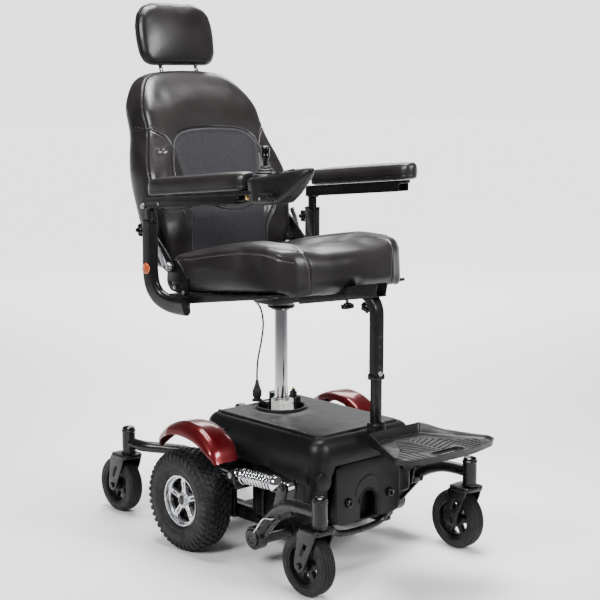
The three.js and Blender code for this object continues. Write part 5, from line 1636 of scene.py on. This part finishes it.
def stitches(spots, offset, lift, pitch=5.0, length=3.4, radius=0.42):
    """Short raised threads beside a seam, as parts in millimetres."""
    line = [p for p, _ in spots]
    total = sum((b - a).length for a, b in zip(line, line[1:])) / MM
    count = max(int(total / pitch), 2)
    parts = []
    origin = at(0, 0, 0)
    for k in range(count):
        s = (k + 0.5) / count * (len(line) - 1)
        i = min(int(s), len(line) - 2)
        along = (line[i + 1] - line[i]).normalized()
        normal = spots[i][1].normalized()
        across = along.cross(normal).normalized()
        middle_spot = (line[i].lerp(line[i + 1], s - i) - origin) / MM + across * offset + normal * lift
        a, b = middle_spot - along * length / 2, middle_spot + along * length / 2
        parts.append(sweep([a, a.lerp(b, 0.2) + normal * radius * 0.8,
                            a.lerp(b, 0.8) + normal * radius * 0.8, b], round_section(radius, 6),
                           up=tuple(normal)))
    return parts


def piping(spots, radius, lift):
    origin = at(0, 0, 0)
    line = [(p - origin) / MM + n.normalized() * lift for p, n in spots]
    return sweep(line, round_section(radius, 10), up=tuple(spots[0][1]))


def upholster(obj, body, node, material=None, angle=75):
    finish_piece(obj, material or LEATHER, body, node, angle)


# ---------- seat cushion ----------

SEAT_EDGE = [(-128, 0), (-128, -205), (-120, -222), (-95, -230), (60, -230), (180, -229), (248, -226),
             (290, -212), (318, -182), (332, -140), (337, -80), (338, 0)]


def mirrored_outline(half):
    """Closes an outline whose first and last points lie on the line v = 0."""
    return half + [(u, -v) for u, v in half[-2:0:-1]]


def upright_outline(half):
    """Closes an outline whose first and last points lie on the line u = 0."""
    return half + [(-u, v) for u, v in half[-2:0:-1]]


def clamped(t):
    return min(max(t, 0.0), 1.0)


def seat_low(x, y):
    """The underside follows the frame, then drops as a lip in front of it, notched for the footrest tube."""
    floor = seat_underside(x) + 0.6
    return floor - (floor - 670.6) * clamped((x - 297) / 7) * clamped((abs(y) - 22) / 10)


def seat_high(x, y):
    crest = float(np.interp(x, (-128, -60, 63, 170, 251, 300, 338), (744, 758, 781, 797, 798, 792, 776)))
    t = min(max((abs(y) - 70) / 95, 0), 1)
    bolster = t * t * (3 - 2 * t)
    dip = float(np.interp(x, (-128, -60, 100, 200, 270, 338), (10, 20, 26, 22, 12, 5)))
    return crest - dip * (1 - bolster) - 5


def seat_shape(u, v, w):
    """Side panels stand almost upright; the front panel bulges and tucks under."""
    low, high = seat_low(u, v), seat_high(u, v)
    z = low + (high - low) * w
    tuck = max(u - 318, 0) * (1 - clamped(w / 0.4)) ** 1.5
    return u - tuck - 1, v * (1 - 0.012 * (2 * w - 1) ** 2) * 0.985, z


BACK_FACE = [(690, -137), (787, -141), (870, -158), (932, -178), (1000, -199), (1056, -219), (1110, -243),
             (1150, -268), (1190, -298), (1215, -320)]
BACK_REAR = [(690, -236), (800, -258), (940, -294), (1040, -330), (1120, -366), (1180, -386), (1215, -372)]
BACK_EDGE = [(0, 692), (-120, 692), (-186, 694), (-207, 704), (-217, 740), (-228, 790), (-234, 850),
             (-238, 900), (-237, 945), (-226, 990), (-212, 1030), (-205, 1062), (-204, 1088), (-201, 1112),
             (-188, 1142), (-168, 1172), (-144, 1194), (-112, 1207), (-60, 1213), (0, 1214)]


def back_relief(y, z):
    """How far the padding stands out of the back's plain curve."""
    y = abs(y)
    flank = min(max((y - 118) / 60, 0), 1)
    side = 16 * flank * flank * (3 - 2 * flank) * math.exp(-((z - 900) / 120) ** 2)
    top = 7 * math.exp(-((z - 1125) / 70) ** 2) * (1 - (y / 230) ** 2)
    lumbar = 9 * math.exp(-((z - 800) / 60) ** 2) * (1 - (y / 240) ** 2)
    return side + top + lumbar


def back_shape(u, v, w):
    face = float(np.interp(v, [z for z, _ in BACK_FACE], [x for _, x in BACK_FACE]))
    rear = float(np.interp(v, [z for z, _ in BACK_REAR], [x for _, x in BACK_REAR]))
    front = face - 9 + back_relief(u, v)
    return rear + 7 + (front - rear - 7) * w, u * 0.985, v


HEAD_EDGE = [(0, -88), (-92, -88), (-113, -80), (-126, -56), (-130, -12), (-129, 22), (-121, 53),
             (-101, 76), (-68, 88), (0, 90)]


def head_shape(u, v, w):
    """The headrest: a crowned front face, narrower and rounder at the rear."""
    tilt = math.radians(11)
    crown = 13 * (1 - (u / 130) ** 2) * (1 - (v / 100) ** 2)
    x, z = -38 + 66 * w + crown * w, v
    forward = -388 + x * math.cos(tilt) - z * math.sin(tilt)
    return forward, u, 1306 + x * math.sin(tilt) * 0.2 + z * math.cos(tilt)


def arm_pad_edge(front):
    return [(-102, 0), (-102, -22), (-97, -29), (-84, -31.5), (front - 46, -31.5), (front - 22, -29),
            (front - 7, -20), (front - 1, -8), (front, 0)]


def arm_pad_shape(side):
    def shape(u, v, w):
        low, high = arm_line(u) + 9.6, arm_line(u) + 54 - 0.0035 * v * v
        return u, PAD_Y * side + v, low + (high - low) * w
    return shape


# Which points of a cushion its frame holds while it is inflated.
def seat_held(x, y, z):
    return z < seat_underside(x) + 6 or x < -120


def back_held(x, y, z):
    rear = np.interp(z, [height for height, _ in BACK_REAR], [place for _, place in BACK_REAR])
    return z < 700 or x < rear + 12


def head_held(x, y, z):
    return z <= 1230


def pad_held(x, y, z):
    return z < arm_line(x) + 13


def make_cushions():
    seat = padded_form("seat_cushion_leather", mirrored_outline(SEAT_EDGE), (7, 30), seat_shape, 6.0, 3.4)
    back = padded_form("back_cushion_leather", upright_outline(BACK_EDGE), (20, 24), back_shape, 6.0, 3.0)
    head = padded_form("headrest_leather", upright_outline(HEAD_EDGE), (24, 18), head_shape, 4.5, 2.2, 0.6)
    pads = {}
    for name, side in SIDES:
        outline = mirrored_outline(arm_pad_edge(PAD_FRONT[name]))
        pads[name] = padded_form(f"armrest_pad_leather_{name}", outline, (5, 13),
                                 arm_pad_shape(side), 4.0, 2.6)
    jobs = [(seat, seat_held, 6), (back, back_held, 6), (head, head_held, 5)]
    inflate(jobs + [(pad, pad_held, 3) for pad in pads.values()])
    for obj in (seat, back, head, *pads.values()):
        subdivided(obj)
    return seat, back, head, pads


SEAT_SIDE_SEAM = [(-104, -232, 738), (-28, -232, 750), (53, -232, 764), (131, -232, 775), (206, -232, 781),
                  (262, -228, 780), (296, -212, 772), (318, -184, 763)]
SEAT_FRONT_SEAM = [(300, -150, 800), (322, -148, 784), (333, -146, 764), (338, -143, 740), (336, -141, 712),
                   (328, -140, 682)]
SEAT_TOP_SEAM = [(-118, -128, 800), (0, -132, 800), (120, -138, 800), (220, -144, 800), (300, -150, 800)]
ARCH = [(128, 706), (129, 756), (129, 790), (140, 817), (158, 850), (163, 895), (163, 937), (157, 972),
        (146, 1003), (136, 1026), (116, 1044), (80, 1054), (40, 1057.5), (0, 1058)]
ARCH_INNER = [(129, 790), (122, 826), (127, 850), (121, 890), (126, 935), (134, 972), (140, 1006)]
SHOULDER_SEAM = [(146, 1010), (160, 1034), (184, 1051), (214, 1060)]
BACK_SIDE = [(212, 706), (222, 760), (232, 830), (238, 890), (238, 940), (227, 990), (213, 1030),
             (206, 1064), (205, 1100), (194, 1136), (172, 1170), (146, 1196), (108, 1210),
             (60, 1216), (4, 1217)]
FRONT = Vector((1, 0, 0))
PANEL_FOOT, PANEL_WAIST, PANEL_SHOULDER, PANEL_TOP = 700, 790, 1006, 1058


def on_side(path, way):
    """The path as written where way is 1, or its mirror image where way is -1."""
    return [(x, y * way, z) for x, y, z in path]


def seat_details(seat):
    down = Vector((0, 0, 1))
    thread = []
    for way in (1, -1):
        side = on_surface(seat, on_side(SEAT_SIDE_SEAM, way), 220, None)
        front = on_surface(seat, on_side(SEAT_FRONT_SEAM, way), 80, None)
        top = on_surface(seat, on_side(SEAT_TOP_SEAM, way), 160, down)
        seam(seat, side, 2.2, 5)
        seam(seat, front, 2.6, 5)
        seam(seat, top, 3.0, 7)
        thread += stitches(side, 3.4 * way, 0.1) + stitches(front, 3.2 * way, 0.1)
        piece(f"seat_piping_{'right' if way > 0 else 'left'}",
              [piping(side, 1.3, -0.7), piping(front, 1.2, -0.9)], LEATHER, "seat")
    piece("seat_stitching", thread, THREAD, "seat")


def back_details(back):
    thread = []
    for way in (-1, 1):
        rows = [on_surface(back, [(-100, y * way, z) for y, z in path], count, FRONT)
                for path, count in ((ARCH, 260), (ARCH_INNER, 110), (SHOULDER_SEAM, 60))]
        for spots, depth, width in zip(rows, (3.0, 1.8, 3.0), (6, 4, 6)):
            seam(back, spots, depth, width)
        thread += stitches(rows[0], 3.2, 0.1) + stitches(rows[2], 3.2, 0.1)
        edge = [(back_shape(y, z, 0.86)[0], y * way, z) for y, z in BACK_SIDE]
        welt = on_surface(back, edge, 240, None)
        seam(back, welt, 2.0, 5)
        piece(f"back_piping_{'right' if way < 0 else 'left'}", piping(welt, 1.5, -0.4), LEATHER, "back")
    piece("back_stitching", thread, THREAD, "back")


def inset_panel(back):
    """Gives the faces inside the arch the charcoal fabric."""
    back.data.materials.append(FABRIC)
    heights, widths = [z for _, z in ARCH_INNER], [y for y, _ in ARCH_INNER]
    arch_z = [z for _, z in ARCH][8:]
    arch_y = [y for y, _ in ARCH][8:]
    origin = at(0, 0, 0)
    for face in back.data.polygons:
        if face.normal.x < 0.45:
            continue
        p = (face.center - origin) / MM
        if not PANEL_FOOT <= p.z <= PANEL_TOP:
            continue
        if p.z > PANEL_SHOULDER:
            reach = np.interp(p.z, arch_z, arch_y)
        elif p.z < PANEL_WAIST:
            reach = widths[0]
        else:
            reach = np.interp(p.z, heights, widths)
        if abs(p.y) < reach:
            face.material_index = 1


def pad_details(pads):
    for name, pad in pads.items():
        low = [(x, SIDE_OF[name] * PAD_Y + v, arm_line(x) + 20)
               for x, v in mirrored_outline(arm_pad_edge(PAD_FRONT[name]))]
        spots = on_surface(pad, low + low[:1], 320, None)
        seam(pad, spots, 1.2, 4)
        piece(f"armrest_piping_{name}", piping(spots, 0.9, -0.5), LEATHER, f"armrest_{name}")


def head_details(head):
    edge = [head_shape(u, v, 0.80) for u, v in upright_outline(HEAD_EDGE)]
    welt = on_surface(head, edge + edge[:1], 300, None)
    seam(head, welt, 1.6, 4.5)
    piece("headrest_piping", piping(welt, 1.3, -0.5), LEATHER, "headrest")


seat_pad, back_pad, head_pad, arm_pads = make_cushions()
seat_pad.data.materials.append(LEATHER)
back_pad.data.materials.append(LEATHER)
seat_details(seat_pad)
back_details(back_pad)
inset_panel(back_pad)
head_details(head_pad)
pad_details(arm_pads)
upholster(seat_pad, "seat", "seat_cushion")
upholster(back_pad, "back", "back_cushion")
upholster(head_pad, "headrest", "headrest_pad")
for part_name, _ in SIDES:
    upholster(arm_pads[part_name], f"armrest_{part_name}", f"armrest_pad_{part_name}")


# ---------- floor and light ----------

BACKDROP_WAY = (-0.74, 0.67, 0.0)
WALL = 2.4
# A lamp is its name, spot, target, size, power and spread in degrees.
LAMPS = (("key", (1.1, -3.2, 2.7), (0, 0, 0.7), 1.1, 20, 60),
         ("side", (3.4, 0.9, 2.2), (0, 0, 0.6), 1.1, 16, 60),
         ("rim", (-2.4, 2.2, 2.8), (-1.6, 1.5, 0), 2.0, 75, 130),
         ("top", (-0.3, 0.2, 3.4), (-0.2, 0.2, 0), 1.5, 60, 84))


def ramp_node(nodes, stops):
    """A colour ramp of grey levels, as (position, level)."""
    ramp = nodes.new("ShaderNodeValToRGB")
    elements = ramp.color_ramp.elements
    for element, (position, level) in zip(list(elements), (stops[0], stops[-1])):
        element.position, element.color = position, (level, level, level, 1)
    for position, level in stops[1:-1]:
        elements.new(position).color = (level, level, level, 1)
    return ramp


def world_light():
    """A white wall behind the chair, low over the floor, in a room that is dim elsewhere."""
    world = bpy.data.worlds.new("studio")
    world.use_nodes = True
    nodes, links = world.node_tree.nodes, world.node_tree.links
    place = nodes.new("ShaderNodeTexCoord")
    facing = nodes.new("ShaderNodeVectorMath")
    facing.operation = "DOT_PRODUCT"
    facing.inputs[1].default_value = BACKDROP_WAY
    height = nodes.new("ShaderNodeSeparateXYZ")
    around = ramp_node(nodes, [(0.0, 0.0), (0.3, 0.15), (0.75, 1.0)])
    above = ramp_node(nodes, [(0.06, WALL), (0.15, 0.3), (0.6, 0.12)])
    product = nodes.new("ShaderNodeMix")
    product.data_type = "RGBA"
    product.inputs["A"].default_value = (0.11, 0.11, 0.115, 1)
    links.new(place.outputs["Generated"], facing.inputs[0])
    links.new(place.outputs["Generated"], height.inputs["Vector"])
    links.new(facing.outputs["Value"], around.inputs["Fac"])
    links.new(height.outputs["Z"], above.inputs["Fac"])
    links.new(around.outputs["Color"], product.inputs["Factor"])
    links.new(above.outputs["Color"], product.inputs["B"])
    links.new(product.outputs["Result"], nodes["Background"].inputs["Color"])
    bpy.context.scene.world = world


def floor_surface():
    """A matt white floor that brightens into the wall behind the chair."""
    mat = surface("studio_floor", (0.90, 0.90, 0.90), 0.9)
    nodes = mat.node_tree.nodes
    shader = nodes["Principled BSDF"]
    shader.inputs["Emission Color"].default_value = (1, 1, 1, 1)
    behind = nodes.new("ShaderNodeVectorMath")
    behind.operation = "DOT_PRODUCT"
    behind.inputs[1].default_value = BACKDROP_WAY
    rise = nodes.new("ShaderNodeMapRange")
    rise.interpolation_type = "SMOOTHSTEP"
    rise.inputs["From Min"].default_value, rise.inputs["From Max"].default_value = 0.3, 5.0
    rise.inputs["To Max"].default_value = WALL
    node_link(mat, nodes.new("ShaderNodeTexCoord"), "Object", behind, 0)
    node_link(mat, behind, "Value", rise, "Value")
    node_link(mat, rise, "Result", shader, "Emission Strength")
    return mat


def studio():
    bpy.ops.mesh.primitive_plane_add(size=60, location=(0, 0, 0))
    floor = bpy.context.object
    floor.name = "studio_floor"
    floor.data.materials.append(floor_surface())
    world_light()
    for name, spot, target, size, power, spread in LAMPS:
        light = bpy.data.lights.new(name, "AREA")
        light.size = size
        light.spread = math.radians(spread)
        light.energy = power
        lamp = bpy.data.objects.new(name, light)
        bpy.context.scene.collection.objects.link(lamp)
        lamp.location = spot
        lamp.rotation_euler = (Vector(target) - Vector(spot)).to_track_quat("-Z", "Y").to_euler()


studio()
